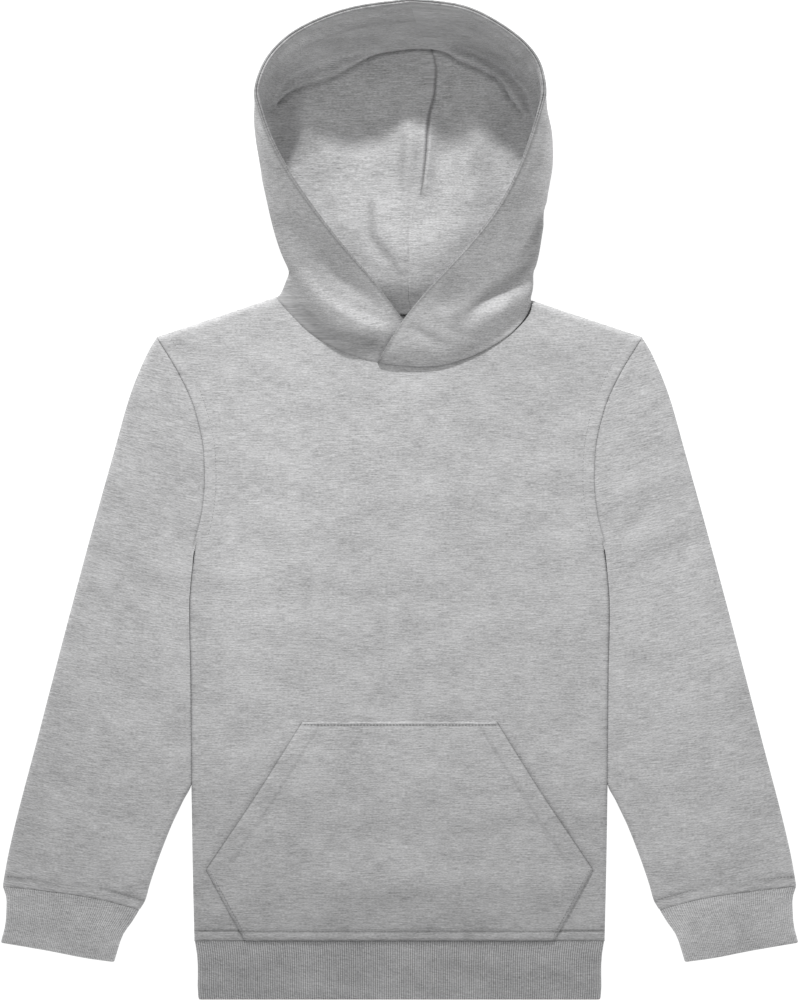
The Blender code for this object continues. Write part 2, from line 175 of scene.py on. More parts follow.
# Hem band, half width by height
HEM_SIDE = (
    # y, half_width
    (-282.5, 131.0),
    (-290.0, 129.6),
    (-300.0, 129.0),
    (-314.0, 129.2),
    (-319.6, 128.4),
)

# Kangaroo pocket: straight top, slanted hand openings, short sides caught in the hem seam
POCKET_OUTLINE = (
    # y, half_width
    (-141.8, 62.6),
    (-165.0, 77.0),
    (-190.0, 92.8),
    (-215.0, 109.6),
    (-236.0, 123.8),
    (-258.0, 112.0),
    (-281.9, 98.9),
)

# Hood halves. Each row is one section of the outer face, from the rim over the side of the hood to
# the centre seam on the ground: the rim, the lap that lies between rim and side, the side where the
# hood is widest, the foot where it meets the ground, and the height along the centre seam.
# The first row runs down the crown seam. The last row, the neck, takes its plan from the necklines.
HOOD_STATIONS = (0.0, 0.2, 0.4, 0.56, 0.78, 1.0)
HOOD_OVER = (
    # rim x, y, z, lap x, y, z, side x, y, z, foot x, y, spine y
    (0.0, 319.5, 66.0, 0.0, 312.0, 42.0, 0.0, 303.0, 19.0, 0.0, 292.0, 256.0),
    (32.0, 316.6, 66.0, 30.4, 309.6, 42.0, 29.0, 301.0, 19.0, 27.0, 290.0, 249.0),
    (61.0, 305.6, 65.0, 57.8, 300.0, 42.0, 54.4, 293.0, 19.0, 50.5, 284.0, 241.0),
    (81.3, 291.6, 64.0, 77.4, 287.4, 42.0, 73.0, 282.4, 19.0, 67.5, 276.0, 232.0),
    (91.4, 276.6, 63.0, 88.6, 274.0, 42.0, 85.0, 271.0, 20.0, 78.5, 267.0, 223.0),
    (94.2, 261.0, 64.0, 93.4, 259.6, 46.0, 91.6, 258.0, 22.0, 84.4, 255.6, 214.0),
    (91.2, 249.0, 63.0, 94.2, 247.6, 50.0, 95.0, 246.0, 25.0, 87.0, 245.0, 205.0),
    (86.0, 233.6, 61.0, 94.4, 233.6, 51.0, 97.8, 233.0, 24.0, 88.8, 232.6, 195.0),
    (77.2, 210.6, 55.0, 91.0, 214.0, 47.0, 98.4, 216.0, 22.0, 88.8, 216.6, 183.5),
    (62.8, 184.0, 47.0, 82.4, 192.0, 41.0, 95.4, 197.0, 20.0, 86.0, 198.6, 170.0),
    (42.6, 159.2, 37.0, 71.4, 169.6, 33.0, 92.4, 175.4, 18.0, 83.0, 177.6, 156.0),
    (19.4, 134.6, 28.0, 59.0, 146.0, 25.0, 89.6, 156.4, 15.0, 79.8, 159.6, 143.0),
    (8.6, 122.4, 23.5, 54.0, 129.0, 18.5, 87.0, 145.4, 10.5, 77.4, 150.6, 137.0),
    (1.2, 113.0, 21.0, 46.0, 116.0, 20.5, 86.6, 137.6, 9.5, 76.4, 142.6, 131.0),
    (-13.4, 90.6, 13.8, 34.0, 89.0, 10.4, 84.5, 127.6, 6.2, 70.0, 122.6, 117.5),
)
HOOD_UNDER = (
    # rim x, y, z, lap x, y, z, side x, y, z, foot x, y, spine y
    (0.0, 319.5, 66.0, 0.0, 312.0, 42.0, 0.0, 303.0, 19.0, 0.0, 292.0, 256.0),
    (30.6, 315.6, 66.0, 29.2, 308.6, 42.0, 27.8, 300.0, 19.0, 26.0, 289.0, 249.0),
    (57.8, 305.8, 65.0, 55.0, 300.0, 42.0, 51.6, 293.0, 19.0, 47.6, 283.6, 241.0),
    (77.4, 292.0, 64.0, 73.6, 287.6, 42.0, 69.4, 282.4, 19.0, 64.2, 276.0, 232.0),
    (88.4, 277.2, 63.0, 85.2, 274.4, 42.0, 81.6, 271.2, 20.0, 75.2, 267.0, 223.0),
    (93.4, 260.0, 64.0, 92.4, 258.6, 46.0, 89.8, 257.0, 22.0, 82.6, 254.6, 214.0),
    (90.0, 247.6, 63.0, 92.6, 246.6, 50.0, 93.2, 245.4, 25.0, 84.6, 244.4, 205.0),
    (84.6, 232.6, 61.0, 90.4, 233.0, 51.0, 92.4, 233.2, 24.0, 83.4, 232.8, 195.0),
    (73.0, 210.4, 55.0, 84.4, 214.4, 47.0, 90.0, 217.6, 22.0, 80.8, 217.8, 183.5),
    (55.8, 185.4, 47.0, 74.4, 192.6, 41.0, 86.4, 197.4, 20.0, 77.4, 198.8, 170.0),
    (35.6, 160.0, 36.0, 62.4, 170.0, 32.0, 81.8, 175.8, 18.0, 72.8, 178.0, 156.0),
    (13.4, 135.4, 23.0, 49.0, 145.0, 24.0, 76.0, 157.0, 15.0, 66.6, 159.6, 143.0),
    (3.4, 122.0, 17.5, 41.0, 118.0, 16.5, 71.0, 146.0, 11.5, 61.6, 151.0, 137.0),
    (-4.6, 112.0, 13.2, 34.0, 106.0, 16.0, 72.6, 140.2, 10.5, 61.6, 144.2, 131.0),
    (-13.0, 86.9, 6.9, 28.0, 92.6, 9.0, 78.5, 129.8, 6.2, 66.0, 124.6, 117.5),
)


# ---- Lines, grids and folds ----


def smooth(knots, values, at):
    """Values at given places, by cubics through the knots that never swing past a knot's value."""
    knots = np.asarray(knots, float)
    values = np.asarray(values, float)
    at = np.asarray(at, float)
    asked = at.shape
    at = at.ravel()
    step = np.diff(knots)
    slope = np.diff(values, axis=0) / step.reshape((-1,) + (1,) * (values.ndim - 1))
    before, after = slope[:-1], slope[1:]
    same_way = before * after > 0
    total = np.where(same_way, before + after, 1.0)
    bend = np.where(same_way, 2 * before * after / total, 0.0)
    tangent = np.concatenate([slope[:1], bend, slope[-1:]])
    part = np.clip(np.searchsorted(knots, at, side="right") - 1, 0, len(step) - 1)
    shape = (-1,) + (1,) * (values.ndim - 1)
    width = step[part].reshape(shape)
    t = ((at - knots[part]) / step[part]).reshape(shape)
    found = (
        (2 * t**3 - 3 * t**2 + 1) * values[part]
        + (t**3 - 2 * t**2 + t) * width * tangent[part]
        + (3 * t**2 - 2 * t**3) * values[part + 1]
        + (t**3 - t**2) * width * tangent[part + 1]
    )
    return found.reshape(asked + values.shape[1:])


def along(points, share):
    """Points at given shares of the length of a smooth line through a few points."""
    points = np.asarray(points, float)
    reach = np.concatenate([[0.0], np.cumsum(np.linalg.norm(np.diff(points, axis=0), axis=1))])
    return smooth(reach / reach[-1], points, share)


def ease(start, end, value):
    """Soft step from 0 at the start to 1 at the end."""
    share = np.clip((value - start) / (end - start), 0, 1)
    return share * share * (3 - 2 * share)


def crowded(length, spacing, near, first=True, last=True):
    """Shares of a line at an even spacing, with closer ones near the ends where cloth turns."""
    near = np.asarray(near, float) / length
    low = near if first else near[:1]
    high = 1 - (near[::-1] if last else near[:1])
    count = max(int((high[0] - low[-1]) * length / spacing), 2)
    return np.concatenate([low, np.linspace(low[-1], high[0], count + 1)[1:-1], high])


def patch(start, end, left, right, across, down, margin=1.0):
    """Grid of plan points between four edge lines, given as points at every step across and down.

    The shape of the left and right lines fades out over the margin, a share of the width.
    """
    s = np.atleast_2d(across)[..., None]
    t = down[:, None, None]
    left_bend = left[:, None] - (1 - t) * left[0] - t * left[-1]
    right_bend = right[:, None] - (1 - t) * right[0] - t * right[-1]
    by_left = np.clip(1 - s / margin, 0, 1)
    by_right = np.clip(1 - (1 - s) / margin, 0, 1)
    return (1 - t) * start + t * end + by_left * left_bend + by_right * right_bend


def evened(field, rows, columns):
    """Field evened out by a bell-shaped average so many cells wide, its edges kept in place."""
    for axis, width in ((0, rows), (1, columns)):
        reach = int(3 * width)
        weights = np.exp(-0.5 * (np.arange(-reach, reach + 1) / width) ** 2)
        weights /= weights.sum()
        moved = np.moveaxis(field, axis, 0)
        before = 2 * moved[:1] - moved[reach:0:-1]
        after = 2 * moved[-1:] - moved[-2:-reach - 2:-1]
        padded = np.concatenate([before, moved, after])
        even = sum(weight * padded[i:i + len(moved)] for i, weight in enumerate(weights))
        field = np.moveaxis(even, 0, axis)
    return field


def grid_normals(grid):
    """Unit normals of an open grid of points."""
    normals = np.cross(np.gradient(grid, axis=0), np.gradient(grid, axis=1))
    return normals / np.maximum(np.linalg.norm(normals, axis=2, keepdims=True), 1e-9)


def grid_reach(grid, axis):
    """Distance along the cloth from the first line of a grid to every point."""
    step = np.linalg.norm(np.diff(grid, axis=axis), axis=2)
    start = np.zeros_like(np.take(step, [0], axis=axis))
    return np.concatenate([start, np.cumsum(step, axis=axis)], axis=axis)


def nearest(x, y, line):
    """Distance of plan places from a line of points, the side they lie on, and the share along it."""
    line = np.asarray(line, float)
    legs = np.linalg.norm(np.diff(line, axis=0), axis=1)
    before = np.concatenate([[0.0], np.cumsum(legs)])
    best = np.full(x.shape, np.inf)
    side = np.zeros(x.shape)
    share = np.zeros(x.shape)
    for start, end, length, done in zip(line[:-1], line[1:], legs, before):
        ahead = (end - start) / length
        run = (x - start[0]) * ahead[0] + (y - start[1]) * ahead[1]
        held = np.clip(run, 0, length)
        away = np.hypot(x - start[0] - held * ahead[0], y - start[1] - held * ahead[1])
        closer = away < best
        left = (y - start[1]) * ahead[0] - (x - start[0]) * ahead[1]
        best = np.where(closer, away, best)
        side = np.where(closer, np.sign(left), side)
        share = np.where(closer, (done + held) / before[-1], share)
    return best, side, share


def fold_height(x, y, folds):
    """Height of a table of soft folds at plan places.

    Each fold runs along a line, with its width to the left and to the right of it as one walks
    along, and a height that fades out at both ends. A trough has a height below zero.
    """
    total = np.zeros(x.shape)
    for line, left_width, right_width, height in folds:
        curve = along(line, np.linspace(0, 1, 6 * len(line)))
        away, side, share = nearest(x, y, curve)
        width = np.where(side > 0, left_width, right_width)
        fade = np.sin(np.pi * np.clip(share, 0.0, 1.0)) ** 0.7
        total += height * fade * np.exp(-(away / width) ** 2)
    return total


def swell_height(x, y, swells):
    """Height of broad, soft swells: middle, reach across and along, height."""
    total = np.zeros(x.shape)
    for middle_x, middle_y, across, up, height in swells:
        total += height * np.exp(-((x - middle_x) / across) ** 2 - ((y - middle_y) / up) ** 2)
    return total


def turned_down(distance, radius, drop):
    """How far a cloth's edge is rounded down at a distance from its seam."""
    inward = np.clip(distance / radius, 0, 1)
    return drop * (1 - np.sqrt(1 - (1 - inward) ** 2))


def groove(distance, width, depth):
    """Small furrow that a line of stitches pulls into the cloth."""
    return depth * np.exp(-(distance / width) ** 2)


# ---- Meshes ----


def add_piece(name, points, faces, uv, finish, painted_light):
    """Mesh object in metres from points in millimetres, its UV map the cloth's own lie in metres.

    Its last argument is painted light and shade kept on the points: painted shade in furrows, seams,
    folds and between ribs, and broad patches painted lighter or darker to even out the light.
    """
    mesh = bpy.data.meshes.new(name)
    corners = points[faces]
    volume = np.einsum("ij,ij->i", corners[:, 0], np.cross(corners[:, 1], corners[:, 2])).sum()
    volume += np.einsum("ij,ij->i", corners[:, 0], np.cross(corners[:, 2], corners[:, 3])).sum()
    if volume < 0:
        faces = faces[:, ::-1]
    mesh.from_pydata((points * METRES_PER_MM).tolist(), [], faces.tolist())
    layer = mesh.uv_layers.new(name="cloth")
    layer.data.foreach_set("uv", (uv[faces.ravel()] * METRES_PER_MM).ravel())
    mesh.attributes.new("painted_light", "FLOAT", "POINT").data.foreach_set("value", painted_light)
    return finished(mesh, finish)


def finished(mesh, finish):
    """Object of a mesh, smooth, in its finish."""
    mesh.materials.append(finish)
    mesh.polygons.foreach_set("use_smooth", np.ones(len(mesh.polygons), bool))
    mesh.update()
    made = bpy.data.objects.new(mesh.name, mesh)
    bpy.context.scene.collection.objects.link(made)
    return made


SEAM_EDGE_START = 10.0   # a seam edge is as thick as cloth this far from an open edge
EDGE_LEFT = 0.1          # share of the wall that an open edge keeps


def cloth_wall(name, outer, inner, uv, finish, painted_light=None, wrap=False, round_edges=1.0,
               seam_edge=False):
    """Closed wall between two grids of points, thinned round towards its open edges.

    Seam edges, along the first row and the last column, keep their thickness and show no furrow.
    """
    painted_light = np.ones(outer.shape[:2]) if painted_light is None else np.broadcast_to(painted_light, outer.shape[:2])
    middle = (outer + inner) / 2
    half = (outer - inner) / 2
    down = grid_reach(middle, 0)
    start = SEAM_EDGE_START if seam_edge else 0.0
    reach = np.minimum(down + start, down[-1:] - down)
    if not wrap:
        across = grid_reach(middle, 1)
        reach = np.minimum(reach, np.minimum(across, across[:, -1:] - across + start))
    inward = np.clip(reach / round_edges, 0, 1)
    half = half * np.maximum(np.sqrt(1 - (1 - inward) ** 2), EDGE_LEFT)[..., None]
    rows, columns = middle.shape[:2]
    points = np.concatenate([(middle + half).reshape(-1, 3), (middle - half).reshape(-1, 3)])
    front = np.arange(rows * columns).reshape(rows, columns)
    if wrap:
        front = np.concatenate([front, front[:, :1]], axis=1)
    back = front + rows * columns

    def quads(grid):
        return np.stack([grid[:-1, :-1], grid[1:, :-1], grid[1:, 1:], grid[:-1, 1:]], -1).reshape(-1, 4)

    faces = [quads(front), quads(back)[:, ::-1]]
    faces.append(quads(np.stack([back[0], front[0]])))
    faces.append(quads(np.stack([front[-1], back[-1]])))
    if not wrap:
        faces.append(quads(np.stack([front[:, 0], back[:, 0]])))
        faces.append(quads(np.stack([back[:, -1], front[:, -1]])))
    both = np.concatenate([uv.reshape(-1, 2), uv.reshape(-1, 2)])
    shade = np.concatenate([painted_light.ravel(), painted_light.ravel()])
    return add_piece(name, points, np.concatenate(faces), both, finish, shade)


# ---- Body: front, back and pocket ----

EDGE_NEAR = (0.0, 0.25, 0.7, 1.3, 2.0, 2.8, 3.7, 4.8)   # steps in from an edge that turns
HEM_NEAR = EDGE_NEAR + (5.4, 5.8, 6.15, 6.5, 6.85, 7.2, 7.7, 8.6)
FRONT_SPACING = 2.4     # grid steps of the panels; the back shows less
BACK_SPACING = 4.2
NECK_GIRTH = 173.0
NECK_SHARE = 0.2        # share of the body's width that each shoulder takes
NECK_SEAM_EDGE = (1.6, 0.8)     # reach and depth by which the panels round down to their seams
HEM_SEAM_EDGE = (2.0, 1.6)
ARM_SEAM_EDGE = (1.8, 1.2)
ARM_SEAM_RISE = (UNDERARM_Y - 6, UNDERARM_Y + 4)    # heights between which the armhole begins
FOLD_START = (2, 14)            # folds begin this far from side and shoulder seams
FULL_START = (0, 26)            # and the fullness of the front this far
FULL_RISE = (-2, 16)
STITCH_DEPTH = 0.45     # furrow that a line of stitches pulls
STITCH_WIDTH = 0.9
HEM_STITCH_RISE = 6.5   # topstitching above the hem seam
HEM_STITCH_DEPTH = 0.7
ARMHOLE_STITCH_IN = 7.5
ARMHOLE_LINE = [(half, y) for y, half in ARMHOLE]
# Painted shade along stitch lines and seams: width and depth of the darkening
HEM_STITCH_TONE = (0.6, 0.34)
HEM_SEAM_TONE = (0.8, 0.25)
NECK_SEAM_TONE = (1.4, 0.15)
HEM_SHADE = 0.17        # how much darker the front is painted above the hem, as painted shade
HEM_SHADE_RISE = (-150.0, -280.0)
POCKET_PRESS = (0.9, 0.9)       # width and depth of the furrow round the pocket

FRONT_FOLDS = (
    # line from end to end, width left of it, width right of it, height
    (((104.0, -6.0), (82.0, -34.0), (66.0, -70.0)), 9.0, 14.0, -0.5),
    (((-106.0, 2.0), (-88.0, -30.0), (-80.0, -74.0)), 12.0, 8.0, -0.45),
    (((-96.0, 66.0), (-60.0, 62.0), (-30.0, 70.0)), 10.0, 8.0, 0.35),
    (((88.0, 78.0), (62.0, 60.0), (38.0, 58.0)), 9.0, 12.0, 0.4),
    (((-120.0, -100.0), (-92.0, -126.0), (-70.0, -138.0)), 10.0, 13.0, -0.4),
    (((118.0, -92.0), (96.0, -120.0), (72.0, -136.0)), 11.0, 9.0, -0.45),
    (((-40.0, -60.0), (0.0, -72.0), (44.0, -62.0)), 16.0, 12.0, 0.35),
)
# Broad patches of painted light and shade that even out the light across the front
FRONT_PAINTED_LIGHT = (
    # middle x, y, reach across, reach up, how much lighter it is painted
    (-95.0, -40.0, 45.0, 120.0, 0.09),
    (78.0, 82.0, 46.0, 24.0, -0.10),
    (0.0, -260.0, 190.0, 16.0, 0.10),
)
FRONT_SWELLS = (
    # middle x, y, reach across, reach up, height
    (0.0, -246.0, 125.0, 20.0, 5.4),
    (-30.0, -196.0, 70.0, 40.0, 1.2),
)
BACK_FOLDS = (
    # line from end to end, width left of it, width right of it, height
    (((-84.0, 20.0), (-20.0, 10.0), (58.0, 26.0)), 12.0, 15.0, -0.4),
    (((92.0, -60.0), (40.0, -110.0), (-30.0, -128.0)), 14.0, 10.0, -0.35),
)


def body_plan(neck, spacing):
    """Plan grid of a body panel, rows from the hem seam to the shoulder seams and the neckline."""
    cuts = np.linspace(0, 1, int(NECK_GIRTH / spacing))
    neck_line = away_from_neck(along(neck, cuts), SEAM_GAP)
    tip = np.array(SHOULDER_TIP)
    shoulder_length = np.linalg.norm(tip - neck_line[-1])
    shoulder = crowded(shoulder_length, spacing, EDGE_NEAR, last=False)[:-1]
    across = np.concatenate([
        NECK_SHARE * shoulder,
        NECK_SHARE + (1 - 2 * NECK_SHARE) * cuts,
        1 - NECK_SHARE * shoulder[::-1],
    ])
    right_tip = tip * (-1, 1)
    right = right_tip + shoulder[:, None] * (neck_line[0] - right_tip)
    left = tip + shoulder[::-1, None] * (neck_line[-1] - tip)
    top = np.vstack([right, neck_line, left])
    hem = np.column_stack([(2 * across - 1) * BODY_SIDE[0][1], np.full(len(across), HEM_SEAM_Y)])
    below = crowded(UNDERARM_Y - HEM_SEAM_Y, spacing, HEM_NEAR, last=False)
    above = crowded(tip[1] - UNDERARM_Y, spacing, EDGE_NEAR, first=False)[1:]
    side_y = np.concatenate([
        HEM_SEAM_Y + below * (UNDERARM_Y - HEM_SEAM_Y),
        UNDERARM_Y + above * (tip[1] - UNDERARM_Y),
    ])
    side_x = np.where(
        side_y <= UNDERARM_Y,
        smooth(*zip(*BODY_SIDE), np.minimum(side_y, UNDERARM_Y)),
        smooth(*zip(*ARMHOLE), np.maximum(side_y, UNDERARM_Y)),
    )
    side = np.column_stack([side_x, side_y])
    down = (side_y - HEM_SEAM_Y) / (tip[1] - HEM_SEAM_Y)
    return patch(hem, top, side * (-1, 1), side, across, down, NECK_SHARE)


def away_from_neck(points, gap):
    """Neckline moved outwards from the middle of the neck."""
    reach = points - NECK_MIDDLE
    return points + gap * reach / np.linalg.norm(reach, axis=1, keepdims=True)


def closed_edge_distance(x, y, neck):
    """Distance from the edges where front meets back: the side seams and the shoulder seams."""
    sides = along([(half, height) for height, half in BODY_SIDE], np.linspace(0, 1, 30))
    neck_points = away_from_neck(np.array(neck), SEAM_GAP)
    tip = np.array(SHOULDER_TIP)
    lines = (
        sides,
        sides * (-1, 1),
        np.array([tip, neck_points[-1]]),
        np.array([tip * (-1, 1), neck_points[0]]),
    )
    return np.min([nearest(x, y, line)[0] for line in lines], axis=0)


def panel_height(x, y, neck, folds):
    """Height of a body panel's outer face over the seam level, with its seams and soft folds."""
    radius = LOFT / 2
    near = np.clip(closed_edge_distance(x, y, neck) / radius, 0, 1)
    height = LOFT / 2 + SEAM_GAP / 2 + (radius - SEAM_GAP / 2) * np.sqrt(1 - (1 - near) ** 2)
    neck_line = away_from_neck(along(neck, np.linspace(0, 1, 40)), SEAM_GAP)
    armhole = along(ARMHOLE_LINE, np.linspace(0, 1, 24))
    arm_away = nearest(np.abs(x), y, armhole)[0]
    above_arm = ease(*ARM_SEAM_RISE, y)
    height -= turned_down(nearest(x, y, neck_line)[0], *NECK_SEAM_EDGE)
    height -= turned_down(y - HEM_SEAM_Y, *HEM_SEAM_EDGE)
    height -= turned_down(arm_away, *ARM_SEAM_EDGE) * above_arm
    height -= groove(arm_away - ARMHOLE_STITCH_IN, 2 * STITCH_WIDTH, STITCH_DEPTH) * above_arm
    height -= groove(y - HEM_SEAM_Y - HEM_STITCH_RISE, STITCH_WIDTH, HEM_STITCH_DEPTH)
    inner = ease(*FOLD_START, closed_edge_distance(x, y, neck))
    return height + fold_height(x, y, folds) * inner


def front_height(x, y):
    """Height of the front panel's outer face, a little fuller below the pocket's middle."""
    inner = ease(*FULL_START, closed_edge_distance(x, y, FRONT_NECK))
    full = swell_height(x, y, FRONT_SWELLS) * inner * ease(*FULL_RISE, y - HEM_SEAM_Y)
    opening = [(half, height) for height, half in POCKET_OUTLINE]
    pocket_away = nearest(np.abs(x), y, np.array([(0.0, opening[0][1])] + opening))[0]
    return panel_height(x, y, FRONT_NECK, FRONT_FOLDS) + full - groove(pocket_away, *POCKET_PRESS)


def front_painted_light(x, y):
    """Painted light and shade of the front: painted shade in its stitch lines, along its seams and
    towards the hem, and broad patches painted lighter or darker.
    """
    neck_line = away_from_neck(along(FRONT_NECK, np.linspace(0, 1, 40)), SEAM_GAP)
    painted_light = 1 - groove(y - HEM_SEAM_Y - HEM_STITCH_RISE, *HEM_STITCH_TONE)
    painted_light -= groove(y - HEM_SEAM_Y, *HEM_SEAM_TONE)
    painted_light = painted_light - groove(nearest(x, y, neck_line)[0], *NECK_SEAM_TONE)
    shade = 1 - HEM_SHADE * ease(*HEM_SHADE_RISE, y)
    return painted_light * shade * (1 + swell_height(x, y, FRONT_PAINTED_LIGHT))


def make_front(finish):
    """Front panel, one loft up, with edges that turn down to the side and shoulder seams."""
    plan = body_plan(FRONT_NECK, FRONT_SPACING)
    outer = np.dstack([plan, front_height(plan[..., 0], plan[..., 1])])
    inner = outer.copy()
    inner[..., 2] = np.maximum(outer[..., 2] - FLEECE, (LOFT + SEAM_GAP) / 2)
    return cloth_wall("front_cloth", outer, inner, plan, finish, front_painted_light(plan[..., 0], plan[..., 1]))


def make_back(finish):
    """Back panel, flat on the ground, with edges that turn up to the side and shoulder seams."""
    plan = body_plan(BACK_NECK, BACK_SPACING)
    height = panel_height(plan[..., 0], plan[..., 1], BACK_NECK, BACK_FOLDS)
    outer = np.dstack([plan, np.maximum(LOFT - height, 0.0)])
    inner = outer.copy()
    inner[..., 2] = np.minimum(outer[..., 2] + FLEECE, (LOFT - SEAM_GAP) / 2)
    return cloth_wall("back_cloth", outer, inner, plan, finish)


POCKET_TURN = 4         # row of the outline where the hand opening ends and the lower side begins
POCKET_HEM = 11.0       # width of the turned hem along the hand openings
POCKET_HEM_STEP = 0.8   # its inner edge is as soft as this
POCKET_HEM_RISE = 0.2
POCKET_TOP_STITCH = 1.8
POCKET_SIDE_STITCH = 1.9
POCKET_LIFT = 0.15
POCKET_CLOTH = 1.35     # the pocket is pressed thinner than the body
POCKET_GAPE = 0.8       # how far a hand opening stands off, and the reach over which it does
POCKET_GAPE_REACH = (16, 2)
POCKET_NEAR = (0.0, 0.2, 0.5, 0.9, 1.4, 2.0)
POCKET_UPPER_STEP = 1.7
POCKET_LOWER_STEP = 1.3
POCKET_COLUMN_STEP = 1.8
POCKET_WIDTH = 220.0
POCKET_SEAM_EDGE = (2.4, 1.3)
POCKET_STITCH_DEPTH = 0.12
# Painted shade along the pocket's edge, its hem stitches and its top stitches: width and depth
POCKET_EDGE_TONE = (0.8, 0.5)
POCKET_HEM_TONE = (1.0, 0.12)
POCKET_TOP_TONE = (0.5, 0.22)


def pocket_edge(y):
    """Half width of the pocket at a height: slanted hand opening above, lower side below."""
    table = np.array(POCKET_OUTLINE)[::-1]
    turn = len(table) - 1 - POCKET_TURN
    upper, lower = table[turn:], table[:turn + 1]
    return np.where(y >= table[turn, 0],
                    smooth(upper[:, 0], upper[:, 1], np.maximum(y, upper[0, 0])),
                    smooth(lower[:, 0], lower[:, 1], np.minimum(y, lower[-1, 0])))


def make_pocket(finish):
    """Kangaroo pocket on the front panel, with turned hems along its slanted hand openings."""
    top, turn, bottom = POCKET_OUTLINE[0][0], POCKET_OUTLINE[POCKET_TURN][0], POCKET_OUTLINE[-1][0]
    upper = turn + crowded(top - turn, POCKET_UPPER_STEP, POCKET_NEAR) * (top - turn)
    lower = bottom + crowded(turn - bottom, POCKET_LOWER_STEP, POCKET_NEAR) * (turn - bottom)
    y = np.concatenate([lower, upper[1:]])[::-1]
    across = 2 * crowded(POCKET_WIDTH, POCKET_COLUMN_STEP, POCKET_NEAR) - 1
    half = pocket_edge(y)
    x = half[:, None] * across[None]
    y = np.broadcast_to(y[:, None], x.shape)
    opening = np.array([(w, h) for h, w in POCKET_OUTLINE[:POCKET_TURN + 1]])
    slant_away = nearest(np.abs(x), y, along(opening, np.linspace(0, 1, 20)))[0]
    base = front_height(x, y) + POCKET_LIFT
    hem = ease(POCKET_HEM + POCKET_HEM_STEP, POCKET_HEM - POCKET_HEM_STEP, slant_away)
    gape = ease(*POCKET_GAPE_REACH, slant_away) * np.sin(np.pi * np.clip((y - turn) / (top - turn), 0, 1))
    lift = base + gape * POCKET_GAPE
    height = lift + POCKET_CLOTH + POCKET_HEM_RISE * hem
    height -= groove(slant_away - POCKET_HEM, STITCH_WIDTH, POCKET_STITCH_DEPTH) * (y > turn)
    height -= groove(top - y - POCKET_TOP_STITCH, STITCH_WIDTH, STITCH_DEPTH)
    height -= turned_down(y - bottom, *POCKET_SEAM_EDGE)
    outer = np.dstack([x, y, height])
    inner = np.dstack([x, y, lift])
    # Painted shade: a dark line along the pocket's edge and along its stitch lines
    edge_painted_shade = groove(half[:, None] - np.abs(x), *POCKET_EDGE_TONE)
    painted_light = front_painted_light(x, y) - edge_painted_shade * ease(turn - 1, turn + 1, y)
    painted_light -= groove(slant_away - POCKET_HEM, *POCKET_HEM_TONE) * (y > turn)
    painted_light -= groove(top - y - POCKET_TOP_STITCH, *POCKET_TOP_TONE)
    return cloth_wall("pocket_cloth", outer, inner, np.dstack([x, y]), finish, painted_light, round_edges=1.2)


# ---- Sleeves, cuffs and hem band: tubes that lie flat ----


COURSE_LEAN = 0.125     # the knit's courses droop by this share of a tube's width at its under edge
UNDER_SHIFT = 40        # the underside shows other streaks than the top


def lying_ring(shares, straight, radius):
    """Section of a tube that lies flat, walked from the middle of its top round to the same place.

    Gives, for each row, the place across of the line that the wall turns round, and the wall's
    outward direction across and up.
    """
    turn = np.pi * radius
    arc = shares[None] * (4 * straight[:, None] + 2 * turn)
    s = straight[:, None] + np.zeros_like(arc)
    legs = [arc < s, arc < s + turn, arc < 3 * s + turn, arc < 3 * s + 2 * turn]
    middle = np.select(legs, [arc, s, 2 * s + turn - arc, -s], arc - 4 * s - 2 * turn)
    angle = np.select(
        legs,
        [0 * arc, (arc - s) / radius, np.pi + 0 * arc, np.pi + (arc - 3 * s - turn) / radius],
        2 * np.pi,
    )
    return middle, np.sin(angle), np.cos(angle)


def lying_tube(name, start, end, left, right, down, shares, loft, wall, finish, sign, relief):
    """Flattened tube between two open ends and two folded edges, given in plan.

    The relief gives how far the outer face lies in or out at each place, and the cloth's painted light
    and shade: it is called with plan x and y, the share across and along, and the direction up.
    """
    left_line = along(left, down)
    right_line = along(right, down)
    width = np.linalg.norm(right_line - left_line, axis=1)
    radius = loft / 2
    middle, out, up = lying_ring(shares, width / 2 - radius, radius)
    layers = []
    for depth in (0.0, wall):
        place = (middle + (radius - depth) * out) / width[:, None] + 0.5
        plan = patch(along(start, place), along(end, place), left_line, right_line, place, down)
        if depth == 0.0:
            shift, painted_light = relief(plan[..., 0], plan[..., 1], place, down[:, None], up)
            outer_place = place
            outer_plan = plan
        height = radius + (radius - depth + shift * (up > -0.5)) * up
        layers.append(np.dstack([sign * plan[..., 0], plan[..., 1], height]))
    lean = COURSE_LEAN * width[:, None] * (1 - outer_place) ** 2
    uv = np.dstack([sign * outer_plan[..., 0] + UNDER_SHIFT * np.sign(up), outer_plan[..., 1] - lean])
    return cloth_wall(name, layers[0], layers[1], uv, finish, painted_light, wrap=True)


